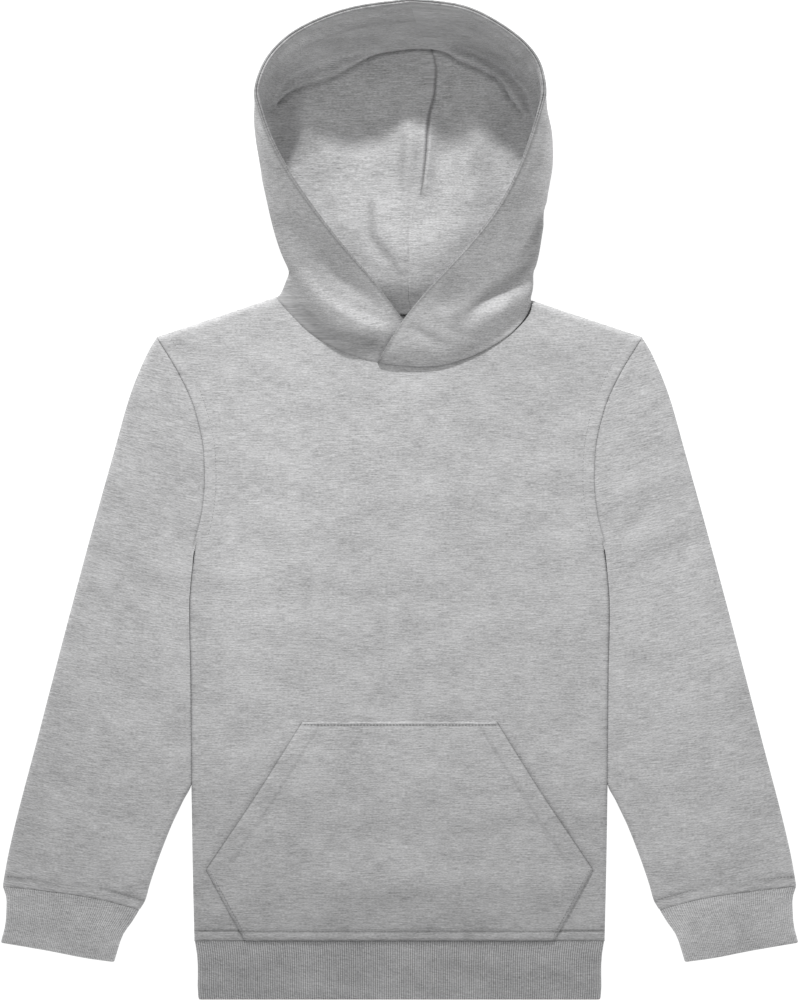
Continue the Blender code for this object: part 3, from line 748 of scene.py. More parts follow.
SLEEVE_FOLDS = {
    "left": (
        # line from end to end, width left of it, width right of it, height
        (((136.0, -30.0), (152.0, -14.0), (166.0, 8.0)), 7.0, 5.0, -0.9),
        (((140.0, -52.0), (162.0, -44.0), (184.0, -22.0)), 9.0, 7.0, -0.6),
        (((142.0, -110.0), (168.0, -104.0), (196.0, -86.0)), 9.0, 12.0, -0.5),
        (((222.0, -140.0), (196.0, -142.0), (170.0, -156.0)), 11.0, 8.0, -0.5),
        (((150.0, -190.0), (182.0, -178.0), (216.0, -172.0)), 8.0, 12.0, 0.4),
        (((176.0, -250.0), (182.0, -228.0), (184.0, -206.0)), 5.0, 7.0, -0.5),
        (((232.0, -240.0), (228.0, -222.0), (222.0, -204.0)), 6.0, 5.0, -0.45),
    ),
    "right": (
        (((136.0, -34.0), (150.0, -20.0), (170.0, -2.0)), 6.0, 6.0, -0.8),
        (((142.0, -70.0), (166.0, -58.0), (186.0, -50.0)), 8.0, 9.0, -0.55),
        (((214.0, -112.0), (190.0, -112.0), (160.0, -124.0)), 10.0, 9.0, -0.55),
        (((146.0, -164.0), (176.0, -150.0), (208.0, -152.0)), 9.0, 12.0, 0.45),
        (((198.0, -250.0), (200.0, -226.0), (206.0, -204.0)), 6.0, 6.0, -0.5),
        (((172.0, -244.0), (174.0, -230.0), (170.0, -216.0)), 5.0, 5.0, -0.4),
    ),
}
# A broad patch of painted light on the sleeves
SLEEVE_PAINTED_LIGHT = (
    # middle x, y, reach across, reach up, how much lighter it is painted
    (184.0, -96.0, 60.0, 80.0, 0.08),
)
SLEEVE_LENGTH = 300.0   # for the spacing of its rows
SLEEVE_ROW_STEP = 2.7
SLEEVE_COLUMNS = 176
SLEEVE_NEAR = (0.0, 0.25, 0.7, 1.3, 2.0, 2.8)
SLEEVE_ARM_EDGE = (2.0, 1.3)    # reach and depth by which its ends round down
SLEEVE_CUFF_EDGE = (1.8, 1.3)
SLEEVE_FOLD_START = (0.02, 0.12)    # folds begin and end this far in from the folded edges, as shares
SLEEVE_FOLD_END = (0.98, 0.88)
CUFF_STITCH_RISE = 6.8
# Painted shade along the cuff's stitch line and the armhole seam: width and depth
CUFF_STITCH_TONE = (1.1, 0.26)
ARM_SEAM_TONE = (0.9, 0.15)
UNDER_PRESS = 1.0       # the sleeve presses this far against the body's side, down to this height
UNDER_PRESS_END = -186.0
SEAM_REACH = 0.7        # the rib reaches this far under the edge it is sewn to
RIB_PITCH = 1.4
RIB_DEPTH = 0.6
RIB_STEPS = 6           # grid lines to a rib
# Painted shade between the ribs and along the rib's seam: tone of the valleys, rise to the crests,
# darkening at the seam
RIB_VALLEY_TONE = 0.62
RIB_TONE_RISE = 0.50
CUFF_TONE_SHARE = 0.55   # the cuffs' ribs lie closer, and the painted shade between them shows less
CUFF_PAINTED_LIGHT = 1.06         # and they are painted a little lighter
RIB_NEAR = (0.0, 0.25, 0.7, 1.3, 2.0)
RIB_SEAM_EDGE = (2.0, 0.5)
RIB_SEAM_SHADE = 0.2
RIB_SEAM_SHARE = 0.06   # the ribs start this far from the seam, as a share of the height
HEM_SEAM_SHARE = 0.05
CUFF_HEIGHT = 38.0
CUFF_HALF_WIDTH = 44.0
CUFF_ROW_STEP = 4.0
HEM_HALF_WIDTH = 129.5
HEM_ROW_STEP = 6.0


def make_sleeve(side, sign, finish):
    """Sleeve from the armhole to the cuff seam."""
    armhole = [(half - SEAM_GAP, y) for y, half in reversed(ARMHOLE)]
    down = crowded(SLEEVE_LENGTH, SLEEVE_ROW_STEP, SLEEVE_NEAR)
    shares = np.arange(SLEEVE_COLUMNS) / SLEEVE_COLUMNS
    cuff_line = along(CUFF_SEAM, np.linspace(0, 1, 20))
    arm_line = along(armhole, np.linspace(0, 1, 24))

    def relief(x, y, place, share, up):
        cuff_away = nearest(x, y, cuff_line)[0]
        arm_away = nearest(x, y, arm_line)[0]
        level = -turned_down(arm_away, *SLEEVE_ARM_EDGE) - turned_down(cuff_away, *SLEEVE_CUFF_EDGE)
        level -= groove(cuff_away - CUFF_STITCH_RISE, STITCH_WIDTH, STITCH_DEPTH)
        inner = ease(*SLEEVE_FOLD_START, place) * ease(*SLEEVE_FOLD_END, place)
        # Painted shade along the stitch line and the seam, and a patch of painted light
        painted_light = 1 - groove(cuff_away - CUFF_STITCH_RISE, *CUFF_STITCH_TONE)
        painted_light -= groove(arm_away, *ARM_SEAM_TONE)
        painted_light += swell_height(x, y, SLEEVE_PAINTED_LIGHT)
        return level + fold_height(x, y, SLEEVE_FOLDS[side]) * inner * (up > 0), painted_light

    under_edge = [(x - UNDER_PRESS * (y > UNDER_PRESS_END), y) for x, y in SLEEVE_UNDER_EDGE]
    return lying_tube("sleeve_" + side + "_cloth", armhole, CUFF_SEAM, SLEEVE_TOP_EDGE,
                      under_edge, down, shares, LOFT, FLEECE, finish, sign, relief)


def ribbed(half_width, loft):
    """Even steps round a rib tube, whole ribs of it, and the ribs' relief."""
    girth = 4 * (half_width - loft / 2) + np.pi * loft
    ribs = int(girth / RIB_PITCH)
    shares = np.arange(ribs * RIB_STEPS) / (ribs * RIB_STEPS)
    wave = 0.5 - 0.5 * np.cos(2 * np.pi * np.arange(ribs * RIB_STEPS) / RIB_STEPS)
    return shares, wave


def rib_painted_shade(wave, share, contrast=1.0):
    """Painted shade of a rib knit: dark between the ribs and along the seam."""
    crest = RIB_VALLEY_TONE + RIB_TONE_RISE / 2
    rib = crest + contrast * RIB_TONE_RISE * (wave[None] - 0.5)
    return rib * (1 - RIB_SEAM_SHADE * ease(RIB_SEAM_SHARE, 0.0, share))


def rib_shift(wave, share, height, seam_share):
    """How far a rib knit's outer face lies in: between the ribs, and where it turns to its seam."""
    seam = turned_down(share * height, *RIB_SEAM_EDGE)
    return -RIB_DEPTH * (1 - wave[None]) * ease(0.0, seam_share, share) - seam


def make_cuff(side, sign, finish):
    """Rib cuff of a sleeve, open at the hand."""
    shares, wave = ribbed(CUFF_HALF_WIDTH, RIB_LOFT)
    down = crowded(CUFF_HEIGHT, CUFF_ROW_STEP, RIB_NEAR)

    def relief(x, y, place, share, up):
        shift = rib_shift(wave, share, CUFF_HEIGHT, RIB_SEAM_SHARE)
        return shift, CUFF_PAINTED_LIGHT * rib_painted_shade(wave, share, CUFF_TONE_SHARE)

    seam = [(x, y - SEAM_GAP + SEAM_REACH) for x, y in CUFF_SEAM]
    top_edge = [seam[0]] + list(CUFF_TOP_EDGE[1:])
    under_edge = [seam[-1]] + list(CUFF_UNDER_EDGE[1:])
    return lying_tube("cuff_" + side + "_rib", seam, CUFF_END, top_edge, under_edge,
                      down, shares, RIB_LOFT, RIB, finish, sign, relief)


def make_hem(finish):
    """Rib hem band, a flat tube below the hem seam."""
    right = [(half, y + SEAM_REACH * (y > HEM_SEAM_Y - 1)) for y, half in HEM_SIDE]
    left = [(-x, y) for x, y in right]
    height = HEM_SIDE[0][0] - HEM_SIDE[-1][0]
    shares, wave = ribbed(HEM_HALF_WIDTH, RIB_LOFT)
    down = crowded(height, HEM_ROW_STEP, RIB_NEAR)

    def relief(x, y, place, share, up):
        return rib_shift(wave, share, height, HEM_SEAM_SHARE), rib_painted_shade(wave, share)

    return lying_tube("hem_rib", [left[0], right[0]], [left[-1], right[-1]], left, right,
                      down, shares, RIB_LOFT, RIB, finish, 1, relief)


# ---- Hood ----

HOOD_ROWS = 130         # even rows and columns in which the hood is worked out
HOOD_COLUMNS = 90
HOOD_EVENING = (2.2, 1.8)
WALL_EVENING = (8.0, 7.0)
HOOD_KNOTS = (0, 0.07, 0.12, 0.17, 0.22, 0.27, 0.32, 0.36, 0.40, 0.45, 0.50, 0.56, 0.69, 0.84, 1.0)
HOOD_LENGTH = 320.0     # cloth from crown to neck and from rim to centre seam, with the final steps
HOOD_GIRTH = 190.0
HOOD_ROW_STEP = 1.95
HOOD_COLUMN_STEP = 1.8
HOOD_NEAR = (0.0, 0.25, 0.7, 1.3, 2.0, 2.9, 4.0)
RIM_THINNING = 0.45
RIM_THINNING_REACH = 4.0
HOOD_EDGE = 0.8         # radius of the rounded edges of its cloth
LINING_GAP = 0.15
LINING_ROWS = 0.995     # the lining stops just short of the neck seam
LINING_COLUMN = 2       # and lies this many columns in from the rim
FLOOR_BACK_SHARE = 0.55  # share of its face's relief that the back of the lining follows
CROWN_BACK_SHARE = 0.7
SEAM_OVERLAP = 0.12     # the halves reach this far over the centre seam
NECK_LAP = 1.7          # the hood's foot laps this far over the neckline, fading within the reach
NECK_LAP_REACH = 2.5
NECK_TURN = 9.0         # it turns down to the neckline over this reach, to these heights
NECK_HEIGHTS = {"over": 7.8, "under": 6.6}
NECK_POINT_DROP = 2.4   # the foot comes down to the shoulder seams at the neck points
NECK_POINT_TURN = 7.0
NECK_POINT_RISE = (108.0, 122.0)
NECK_POINT_LEVEL = (0.5, 4.0)

# Soft limits of the hood's parts, as shares across, from rim to centre seam, and down, from crown
# to neck
FLOOR_ACROSS = (0.46, 0.60)
FLOOR_DOWN = (0.36, 0.24)
LAP_ACROSS = (0.50, 0.40)
LAP_DOWN = (0.42, 0.52)
RIM_LEVEL_ACROSS = (0.30, 0.0)
LINING_ACROSS = (0.52, 0.66)
CROWN_DOWN = (0.46, 0.34)
CROWN_ACROSS = (0.36, 0.46)
TROUGH_DOWN = (0.42, 0.30)
UNROLL_DOWN = (0.05, 0.30)
CROWN_HEM_DOWN = (0.34, 0.22)
SEAM_LEAN_FADE = (0, 76)        # the centre seam's lean fades out this far from it

# The doubled cloth of the crown: middle, width and height of each swell, away from the fold
CROWN_BULGE = (4.0, 5.0, 3.6)
CROWN_BULGE_START = (0.0, 2.2)
CROWN_ROLL = (3.0, 2.4, 0.5)
CROWN_TUCK = (0.0, 1.1, -2.2)
RIM_TROUGH = (16.0, 5.5, -1.5)

# Painted shade along the rim, the crown fold, the centre seam crease and the neck: width and depth of the
# darkening
RIM_TONE = (1.8, 0.36)
CROWN_TONE = (1.2, 0.16)
SEAM_CREASE_TONE = (0.9, 0.35)
NECK_TONE = (1.2, 0.15)
CROWN_HEM = 33.0        # the rim's hem shows as a line of painted shade this far inside the crown
CROWN_HEM_TONE = (2.2, 0.10)
V_SHADE = 0.50          # painted shade: how much darker the lining is painted at the bottom of the opening
V_SHADE_RISE = (144.0, 130.0)
V_SHADE_FROM = 0.5

SEAM_LINE = (
    # y, how far the centre seam of the hood lies to the wearer's left
    (110.0, 5.0),
    (138.0, 5.8),
    (182.0, 8.6),
    (197.0, 13.4),
    (210.0, 16.0),
    (243.0, 18.0),
    (252.0, 19.4),
    (262.0, 22.6),
    (274.0, 23.4),
    (289.0, 20.5),
    (305.0, 12.0),
    (320.0, 6.0),
)
RIM_LEVELS = {
    # share of the rim from the crown, how much higher it stands
    "under": ((0.0, 3.5), (0.025, 0.5), (0.07, 0.0), (0.11, -2.0), (0.15, -7.0), (0.19, -10.0),
              (0.24, -6.5), (0.32, 0.0)),
    "over": ((0.0, 3.5), (0.025, 4.5), (0.06, 2.5), (0.09, 3.5), (0.13, 5.5), (0.20, 2.5), (0.30, 0.0)),
}
FLOOR_SWELLS = (
    # middle x, y, reach across, reach up, height
    (7.0, 234.0, 13.0, 30.0, 8.5),
    (52.0, 236.0, 13.0, 22.0, 6.0),
    (-62.0, 243.0, 11.0, 18.0, 7.0),
    (-32.0, 222.0, 12.0, 20.0, -1.5),
    (28.0, 222.0, 9.0, 18.0, -2.5),
    (-28.0, 178.0, 20.0, 18.0, 2.5),
    (6.0, 160.0, 34.0, 20.0, 3.0),
)
LINING_FOLDS = (
    # line from end to end, width left of it, width right of it, height
    (((20.5, 290.0), (23.4, 274.0), (22.4, 260.0), (18.6, 243.0), (17.2, 220.0), (14.0, 196.0)),
     1.1, 1.3, -3.0),
    (((20.5, 292.0), (23.4, 274.0), (22.4, 260.0), (18.6, 243.0), (17.2, 220.0), (14.0, 194.0)),
     14.0, 3.2, 3.0),
    (((3.8, 238.0), (3.2, 222.0), (0.6, 208.0), (0.0, 200.0)), 1.4, 2.6, -1.6),
    (((-18.5, 190.0), (-17.3, 170.6), (-12.2, 161.0), (-4.5, 152.6), (0.0, 146.0)), 3.0, 5.0, -1.6),
    (((-10.5, 180.4), (-6.4, 174.6)), 2.0, 2.4, -0.8),
    (((7.0, 195.0), (6.4, 170.0), (5.8, 138.0)), 0.8, 0.8, -0.7),
)
CROWN_FOLD = (
    (-79.0, 254.0), (-70.4, 261.0), (-59.0, 265.4), (-48.0, 268.0), (-38.4, 272.4), (-28.0, 278.4),
    (-14.0, 286.0), (0.0, 288.8), (10.2, 289.8), (20.5, 288.8), (28.8, 286.6), (37.8, 281.0),
    (50.6, 275.6), (59.5, 270.8), (64.6, 267.6), (70.4, 258.0), (79.4, 246.4),
)
WEARER_RIGHT_FOLDS = (
    (((-54.0, 155.0), (-43.0, 143.0), (-24.0, 130.0), (-6.0, 120.0)), 6.0, 4.0, -2.0),
    (((-64.0, 148.0), (-52.0, 132.5), (-32.5, 118.5), (-14.0, 110.0), (-4.0, 105.0)), 3.6, 12.0, 4.8),
    (((-87.7, 210.0), (-81.9, 198.1), (-76.2, 186.6), (-70.4, 179.6)), 2.4, 3.0, 0.9),
)
WEARER_LEFT_FOLDS = (
    (((92.0, 149.0), (82.4, 142.9), (68.6, 134.4), (48.6, 121.4), (38.7, 110.0)),
     6.0, 2.6, -1.9),
    (((86.0, 156.0), (70.0, 147.0), (54.0, 135.0), (42.0, 122.0)), 5.0, 5.0, 0.7),
    (((84.0, 132.0), (68.0, 125.0), (54.0, 115.0), (44.0, 106.0)), 6.0, 5.0, 0.6),
    (((95.0, 190.0), (88.4, 173.1), (81.8, 161.0), (76.0, 148.0)), 1.6, 2.6, -1.9),
    (((91.6, 178.0), (86.0, 165.0), (79.4, 154.0)), 1.6, 2.2, 1.3),
    (((32.0, 98.0), (18.0, 103.0), (6.0, 112.0)), 2.4, 3.0, -1.2),
    (((50.0, 104.0), (34.0, 108.0), (20.0, 118.0)), 3.0, 2.6, -0.9),
    (((20.0, 96.0), (8.0, 98.0), (-4.0, 104.0)), 1.8, 2.0, 0.8),
)


# Painted shade along the folds of the laps and of the floor
LAP_SHADES = {
    # line, reach, share
    "over": (((91.0, 178.0), (87.8, 163.0), (83.0, 151.4), (73.2, 141.4), (60.2, 133.4),
              (47.1, 125.5), (36.0, 117.0)), 4.6, 0.30),
    "under": (((-69.0, 138.6), (-58.8, 122.6), (-38.6, 108.4), (-18.5, 101.3)), 7.0, 0.25),
}
# Broad patches of painted light and shade on the lining
LINING_PAINTED_LIGHT = (
    # middle x, y, reach across, reach up, how much lighter it is painted
    (-57.0, 284.0, 24.0, 13.0, 0.22),
    (-45.0, 198.0, 30.0, 28.0, -0.06),
)
# Broad patches of painted light and shade on the laps
LAP_PAINTED_LIGHT = (
    (64.0, 160.0, 16.0, 20.0, 0.13),
    (-57.0, 160.0, 16.0, 20.0, -0.09),
)
FLOOR_SHADES = (
    # line, reach, share
    (((-18.5, 192.0), (-17.3, 170.6), (-12.2, 161.0), (-4.5, 152.6), (0.0, 146.0)), 2.4, 0.24),
    (((2.6, 232.0), (1.8, 218.0), (0.8, 202.0)), 1.9, 0.17),
    (((12.4, 226.0), (11.6, 221.0)), 4.0, 0.13),
    (((55.0, 188.0), (44.0, 168.0), (31.0, 154.0), (20.0, 146.0)), 10.0, 0.12),
)


def neck_section(side):
    """Plan of a hood half's lowest section: along the front neckline, round the neck point, back."""
    front = along(FRONT_NECK, FRONT_CUTS)
    back = along(BACK_NECK, BACK_CUTS)
    middle = len(BACK_CUTS) // 2
    if side == "over":
        return np.vstack([front[LAP_FROM:], back[middle:-1][::-1]])
    return np.vstack([front[LAP_TO::-1], back[1:middle + 1]]) * (-1, 1)


def hood_face(side):
    """Outer face of a hood half, rows from the crown to the neck, columns from rim to centre seam."""
    table = np.array(HOOD_OVER if side == "over" else HOOD_UNDER)
    columns = np.linspace(0, 1, HOOD_COLUMNS)
    sections = []
    for row in table:
        rim, lap, widest = row[0:3], row[3:6], row[6:9]
        foot = np.array([row[9], row[10], 0.0])
        spine = np.array([0.0, row[11], 0.0])
        stations = [rim, lap, widest, foot, (foot + spine) / 2, spine]
        sections.append(smooth(HOOD_STATIONS, stations, columns))
    sections[-1][:, :2] = smooth(HOOD_KNOTS, neck_section(side), columns)
    face = smooth(np.linspace(0, 1, len(table)), np.array(sections), np.linspace(0, 1, HOOD_ROWS))
    return evened(face, *HOOD_EVENING)


def hood_outward(face):
    """Directions in which the hood's wall is thickened, evened out, kept level at the centre seam."""
    normals = evened(grid_normals(face), *WALL_EVENING)
    normals[0, :, 0] = 0.0
    normals[:, -1, 0] = 0.0
    if normals[len(face) // 2, -1, 2] < 0:
        normals = -normals
    outward = face[-1, :, :2] - NECK_MIDDLE
    outward /= np.linalg.norm(outward, axis=1, keepdims=True)
    beyond = np.maximum((normals[-1, :, :2] * outward).sum(axis=1, keepdims=True), 0)
    normals[-1, :, :2] -= beyond * outward
    return normals / np.maximum(np.linalg.norm(normals, axis=2, keepdims=True), 1e-9)


def resampled(grid, rows, columns):
    """Grid of points at given rows and columns of an even one."""
    even_rows = np.linspace(0, 1, grid.shape[0])
    even_columns = np.linspace(0, 1, grid.shape[1])
    across = smooth(even_columns, np.swapaxes(grid, 0, 1), columns)
    return smooth(even_rows, np.swapaxes(across, 0, 1), rows)


def hump(distance, middle, width, height):
    """Soft swell at a distance from a line."""
    return groove(distance - middle, width, height)


def shaded(x, y, lines):
    """Painted shade that plan places get near the lines of folds."""
    return sum(groove(nearest(x, y, along(line, np.linspace(0, 1, 30)))[0], reach, share)
               for line, reach, share in lines)


def hood_unrolled(face, rows, sign):
    """The lie of a hood half's cloth, each row unrolled from the centre seam."""
    step = np.diff(face[:, ::-1], axis=1)
    aside = ease(*UNROLL_DOWN, rows)[:, None]
    start = np.zeros((len(rows), 1))
    girth = np.hypot(step[..., 0], aside * step[..., 2])
    rise = step[..., 1] + (1 - aside) * np.abs(step[..., 2])
    run_x = np.concatenate([start, np.cumsum(girth, axis=1)], axis=1)[:, ::-1]
    run_y = np.concatenate([start, np.cumsum(rise, axis=1)], axis=1)[:, ::-1]
    return np.dstack([sign * run_x, run_y + face[:, -1:, 1]])


def make_hood_half(side, name, sign, finish, lining_finish):
    """Outer half of the hood and its lining, two walls that lie one in the other."""
    face = hood_face(side)
    outward = hood_outward(face)
    rows = crowded(HOOD_LENGTH, HOOD_ROW_STEP, HOOD_NEAR)
    columns = crowded(HOOD_GIRTH, HOOD_COLUMN_STEP, HOOD_NEAR)
    face = resampled(face, rows, columns)
    outward = resampled(outward, rows, columns)
    down = rows[:, None] + 0 * columns[None]
    across = columns[None] + 0 * rows[:, None]
    rim_reach = grid_reach(face, 1)
    neck_reach = grid_reach(face, 0)
    neck_reach = neck_reach[-1:] - neck_reach
    floor = np.maximum(ease(*FLOOR_ACROSS, across), ease(*FLOOR_DOWN, down))
    lap = ease(*LAP_ACROSS, across) * ease(*LAP_DOWN, down)
    crown = ease(*CROWN_DOWN, down) * ease(*CROWN_ACROSS, across)

    # The rim's rise and fall, and the centre seam's lean
    level_shares, levels = zip(*RIM_LEVELS[side])
    level = smooth(level_shares, levels, np.minimum(down, level_shares[-1]))
    face[..., 2] += level * ease(*RIM_LEVEL_ACROSS, across)
    seam_y, seam_x = zip(*SEAM_LINE)
    lean = smooth(seam_y, seam_x, np.clip(face[..., 1], seam_y[0], seam_y[-1]))
    lean *= floor * (1 - ease(*SEAM_LEAN_FADE, np.abs(face[..., 0])))
    face[..., 0] += sign * lean

    # Folds of the lap, of the floor and of the crown
    x, y = sign * face[..., 0], face[..., 1]
    own = WEARER_LEFT_FOLDS if sign > 0 else WEARER_RIGHT_FOLDS
    lap_relief = fold_height(x, y, own) * lap
    away, below, _ = nearest(x, y, along(CROWN_FOLD, np.linspace(0, 1, 60)))
    inner_relief = fold_height(x, y, LINING_FOLDS) + swell_height(x, y, FLOOR_SWELLS)
    inner_relief = inner_relief * ease(*LINING_ACROSS, across)
    bulge = np.where(below > 0, hump(away, *CROWN_BULGE), 0.0) * ease(*CROWN_BULGE_START, away)
    bulge += np.where(below < 0, hump(away, *CROWN_ROLL), 0.0)
    crown_relief = (bulge + hump(away, *CROWN_TUCK)) * crown
    trough = hump(rim_reach, *RIM_TROUGH) * ease(*TROUGH_DOWN, down)

    # The foot laps over the neckline and comes down to the body
    from_neck = face[..., :2] - NECK_MIDDLE
    from_neck /= np.maximum(np.linalg.norm(from_neck, axis=2, keepdims=True), 1e-9)
    face[..., :2] += NECK_LAP * from_neck * np.exp(-(neck_reach / NECK_LAP_REACH) ** 2)[..., None]
    drop = turned_down(neck_reach, NECK_TURN, 1.0)
    drop = drop * np.maximum(face[-1:, :, 2] - NECK_HEIGHTS[side], 0.0)
    by_point = ease(*NECK_POINT_RISE, y) * ease(*NECK_POINT_LEVEL, face[..., 2])
    drop += NECK_POINT_DROP * by_point * turned_down(neck_reach, NECK_POINT_TURN, 1.0)
    uv = hood_unrolled(face, rows, sign)

    thinning = RIM_THINNING * np.exp(-(rim_reach / RIM_THINNING_REACH) ** 2)
    depths = (
        thinning - lap_relief,
        FLEECE - lap_relief,
        FLEECE + LINING_GAP - lap_relief + inner_relief * FLOOR_BACK_SHARE
        + crown_relief * CROWN_BACK_SHARE,
        2 * FLEECE + LINING_GAP - thinning - lap_relief + inner_relief + crown_relief + trough,
    )
    layers = []
    for depth in depths:
        layer = face + depth[..., None] * outward - drop[..., None] * (0.0, 0.0, 1.0)
        layer[..., 0] -= SEAM_OVERLAP
        layers.append(layer * (sign, 1, 1))

    # Painted light and shade: painted shade at the rim, the neck, the crown fold, the centre seam crease,
    # the floor's folds and the bottom of the opening, and broad patches painted lighter or darker
    seam_crease = nearest(x, y, along(LINING_FOLDS[0][0], np.linspace(0, 1, 40)))[0]
    rim_painted_shade = 1 - groove(rim_reach, *RIM_TONE)
    outer_painted_light = rim_painted_shade - groove(neck_reach, *NECK_TONE) - shaded(x, y, [LAP_SHADES[side]]) * lap
    outer_painted_light += swell_height(x, y, LAP_PAINTED_LIGHT) * lap
    lining_painted_light = rim_painted_shade - groove(away, *CROWN_TONE) * crown - groove(seam_crease, *SEAM_CREASE_TONE)
    lining_painted_light -= shaded(x, y, FLOOR_SHADES)
    lining_painted_light *= 1 - V_SHADE * ease(*V_SHADE_RISE, y) * (across > V_SHADE_FROM)
    lining_painted_light += swell_height(x, y, LINING_PAINTED_LIGHT)
    lining_painted_light -= groove(rim_reach - CROWN_HEM, *CROWN_HEM_TONE) * ease(*CROWN_HEM_DOWN, down)

    outer = cloth_wall("hood_" + name + "_cloth", layers[0], layers[1], uv, finish,
                       outer_painted_light, round_edges=HOOD_EDGE, seam_edge=True)
    kept = np.s_[:np.searchsorted(rows, LINING_ROWS), LINING_COLUMN:]
    lining = cloth_wall("hood_lining_" + name + "_cloth", layers[2][kept], layers[3][kept], uv[kept],
                        lining_finish, lining_painted_light[kept], round_edges=HOOD_EDGE, seam_edge=True)
    return outer, lining


# ---- Stitches ----

STITCH_LENGTH = 1.6
STITCH_HALF_WIDTH = 0.30
STITCH_HALF_HEIGHT = 0.26
STITCH_PITCH = 2.1
STITCH_SINK = 0.12
ARM_STITCH_SINK = 0.14
HEM_STITCH_INSET = 2.5
ARM_STITCH_RUN = (0.06, 0.985, 60)      # share where the stitches start and end, and the steps
SIDE_STITCH_RUN = (0.03, 0.97, 30)
CUFF_STITCH_RUN = (0.02, 0.98, 50)
BAR_STITCH_RUN = (-61.5, 61.5, 50)
HEM_STITCH_STEPS = 180
POCKET_EDGE_IN = 1.0    # the hem's stitches climb on the pocket this far inside its edge


def model_stitch():
    """One stitch: a small lens of thread, its points and faces."""
    bpy.ops.object.select_all(action="DESELECT")
    bpy.ops.mesh.primitive_uv_sphere_add(segments=8, ring_count=5, radius=1.0)
    made = bpy.context.object
    bpy.ops.object.mode_set(mode="EDIT")
    bpy.ops.mesh.select_all(action="SELECT")
    bpy.ops.transform.resize(value=(STITCH_LENGTH / 2, STITCH_HALF_WIDTH, STITCH_HALF_HEIGHT))
    bpy.ops.mesh.quads_convert_to_tris()
    bpy.ops.object.mode_set(mode="OBJECT")
    points = np.array([vertex.co[:] for vertex in made.data.vertices])
    faces = [np.roll(polygon.vertices, -np.argmin(polygon.vertices)) for polygon in made.data.polygons]
    bpy.data.objects.remove(made, do_unlink=True)
    return points, np.array(sorted(map(tuple, faces)))


def sew(name, lines, finish):
    """Rows of stitches along lines of points in millimetres, joined in one piece."""
    stitch, stitch_faces = model_stitch()
    points, faces, count = [], [], 0
    for line in lines:
        line = np.asarray(line, float)
        reach = np.concatenate([[0.0], np.cumsum(np.linalg.norm(np.diff(line, axis=0), axis=1))])
        middles = np.arange(STITCH_PITCH / 2, reach[-1], STITCH_PITCH)
        for middle in middles:
            ends = [np.interp(middle + move, reach, line[:, axis])
                    for move in (-STITCH_LENGTH / 2, STITCH_LENGTH / 2) for axis in range(3)]
            first, second = np.array(ends[:3]), np.array(ends[3:])
            ahead = (second - first) / np.linalg.norm(second - first)
            aside = np.cross((0.0, 0.0, 1.0), ahead)
            aside /= np.linalg.norm(aside)
            turn = np.array([ahead, aside, np.cross(ahead, aside)])
            points.append(stitch @ turn + (first + second) / 2)
            faces.append(stitch_faces + count)
            count += len(stitch)
    mesh = bpy.data.meshes.new(name)
    mesh.from_pydata((np.concatenate(points) * METRES_PER_MM).tolist(), [],
                     np.concatenate(faces).tolist())
    return finished(mesh, finish)


def on_front(plan, rise=0.0):
    """Points of a plan line laid on the front panel."""
    plan = np.asarray(plan, float)
    height = front_height(plan[:, 0], plan[:, 1]) + rise - STITCH_SINK + STITCH_HALF_HEIGHT / 2
    return np.column_stack([plan, height])


def shifted(line, distance):
    """Plan line moved sideways to its left."""
    ahead = np.gradient(np.asarray(line, float), axis=0)
    ahead /= np.linalg.norm(ahead, axis=1, keepdims=True)
    return line + distance * np.column_stack([-ahead[:, 1], ahead[:, 0]])


def sew_all(thread):
    """The topstitching of hem, armholes, pocket and cuffs."""
    reach = BODY_SIDE[0][1] - HEM_STITCH_INSET
    across = np.linspace(-reach, reach, HEM_STITCH_STEPS)
    level = np.full(across.shape, HEM_SEAM_Y + HEM_STITCH_RISE)
    rise = POCKET_LIFT + POCKET_CLOTH
    over_pocket = rise * (np.abs(across) < pocket_edge(level) - POCKET_EDGE_IN)
    hem = on_front(np.column_stack([across, level]), over_pocket)
    armhole = shifted(along(ARMHOLE_LINE, np.linspace(*ARM_STITCH_RUN)), ARMHOLE_STITCH_IN)
    arms = [on_front(armhole * (sign, 1), -ARM_STITCH_SINK) for sign in (1, -1)]
    front = sew("front_stitches", [hem] + arms, thread)

    across = np.linspace(*BAR_STITCH_RUN)
    bar = np.column_stack([across, np.full(len(across), POCKET_OUTLINE[0][0] - POCKET_TOP_STITCH)])
    lower = [(half, y) for y, half in POCKET_OUTLINE[POCKET_TURN:]]
    lower = shifted(along(lower, np.linspace(*SIDE_STITCH_RUN)), -POCKET_SIDE_STITCH)
    sides = [on_front(lower * (sign, 1), rise) for sign in (1, -1)]
    pocket = sew("pocket_stitches", [on_front(bar, rise)] + sides, thread)

    cuff = shifted(along(CUFF_SEAM, np.linspace(*CUFF_STITCH_RUN)), -CUFF_STITCH_RISE)
    level = np.full(len(cuff), LOFT - STITCH_SINK - STITCH_DEPTH + STITCH_HALF_HEIGHT / 2)
    sleeves = [sew("sleeve_" + side + "_stitches",
                   [np.column_stack([sign * cuff[:, 0], cuff[:, 1], level])], thread)
               for side, sign in (("left", 1), ("right", -1))]
    return front, pocket, sleeves


# ---- Finishes ----


def wired(material, kind, **sockets):
    """Node added to a material, with values set on its sockets or links made to them."""
    node = material.node_tree.nodes.new(kind)
    for name, value in sockets.items():
        socket = node.inputs[name.replace("_", " ")]
        if isinstance(value, bpy.types.NodeSocket):
            material.node_tree.links.new(value, socket)
        else:
            socket.default_value = value
    return node


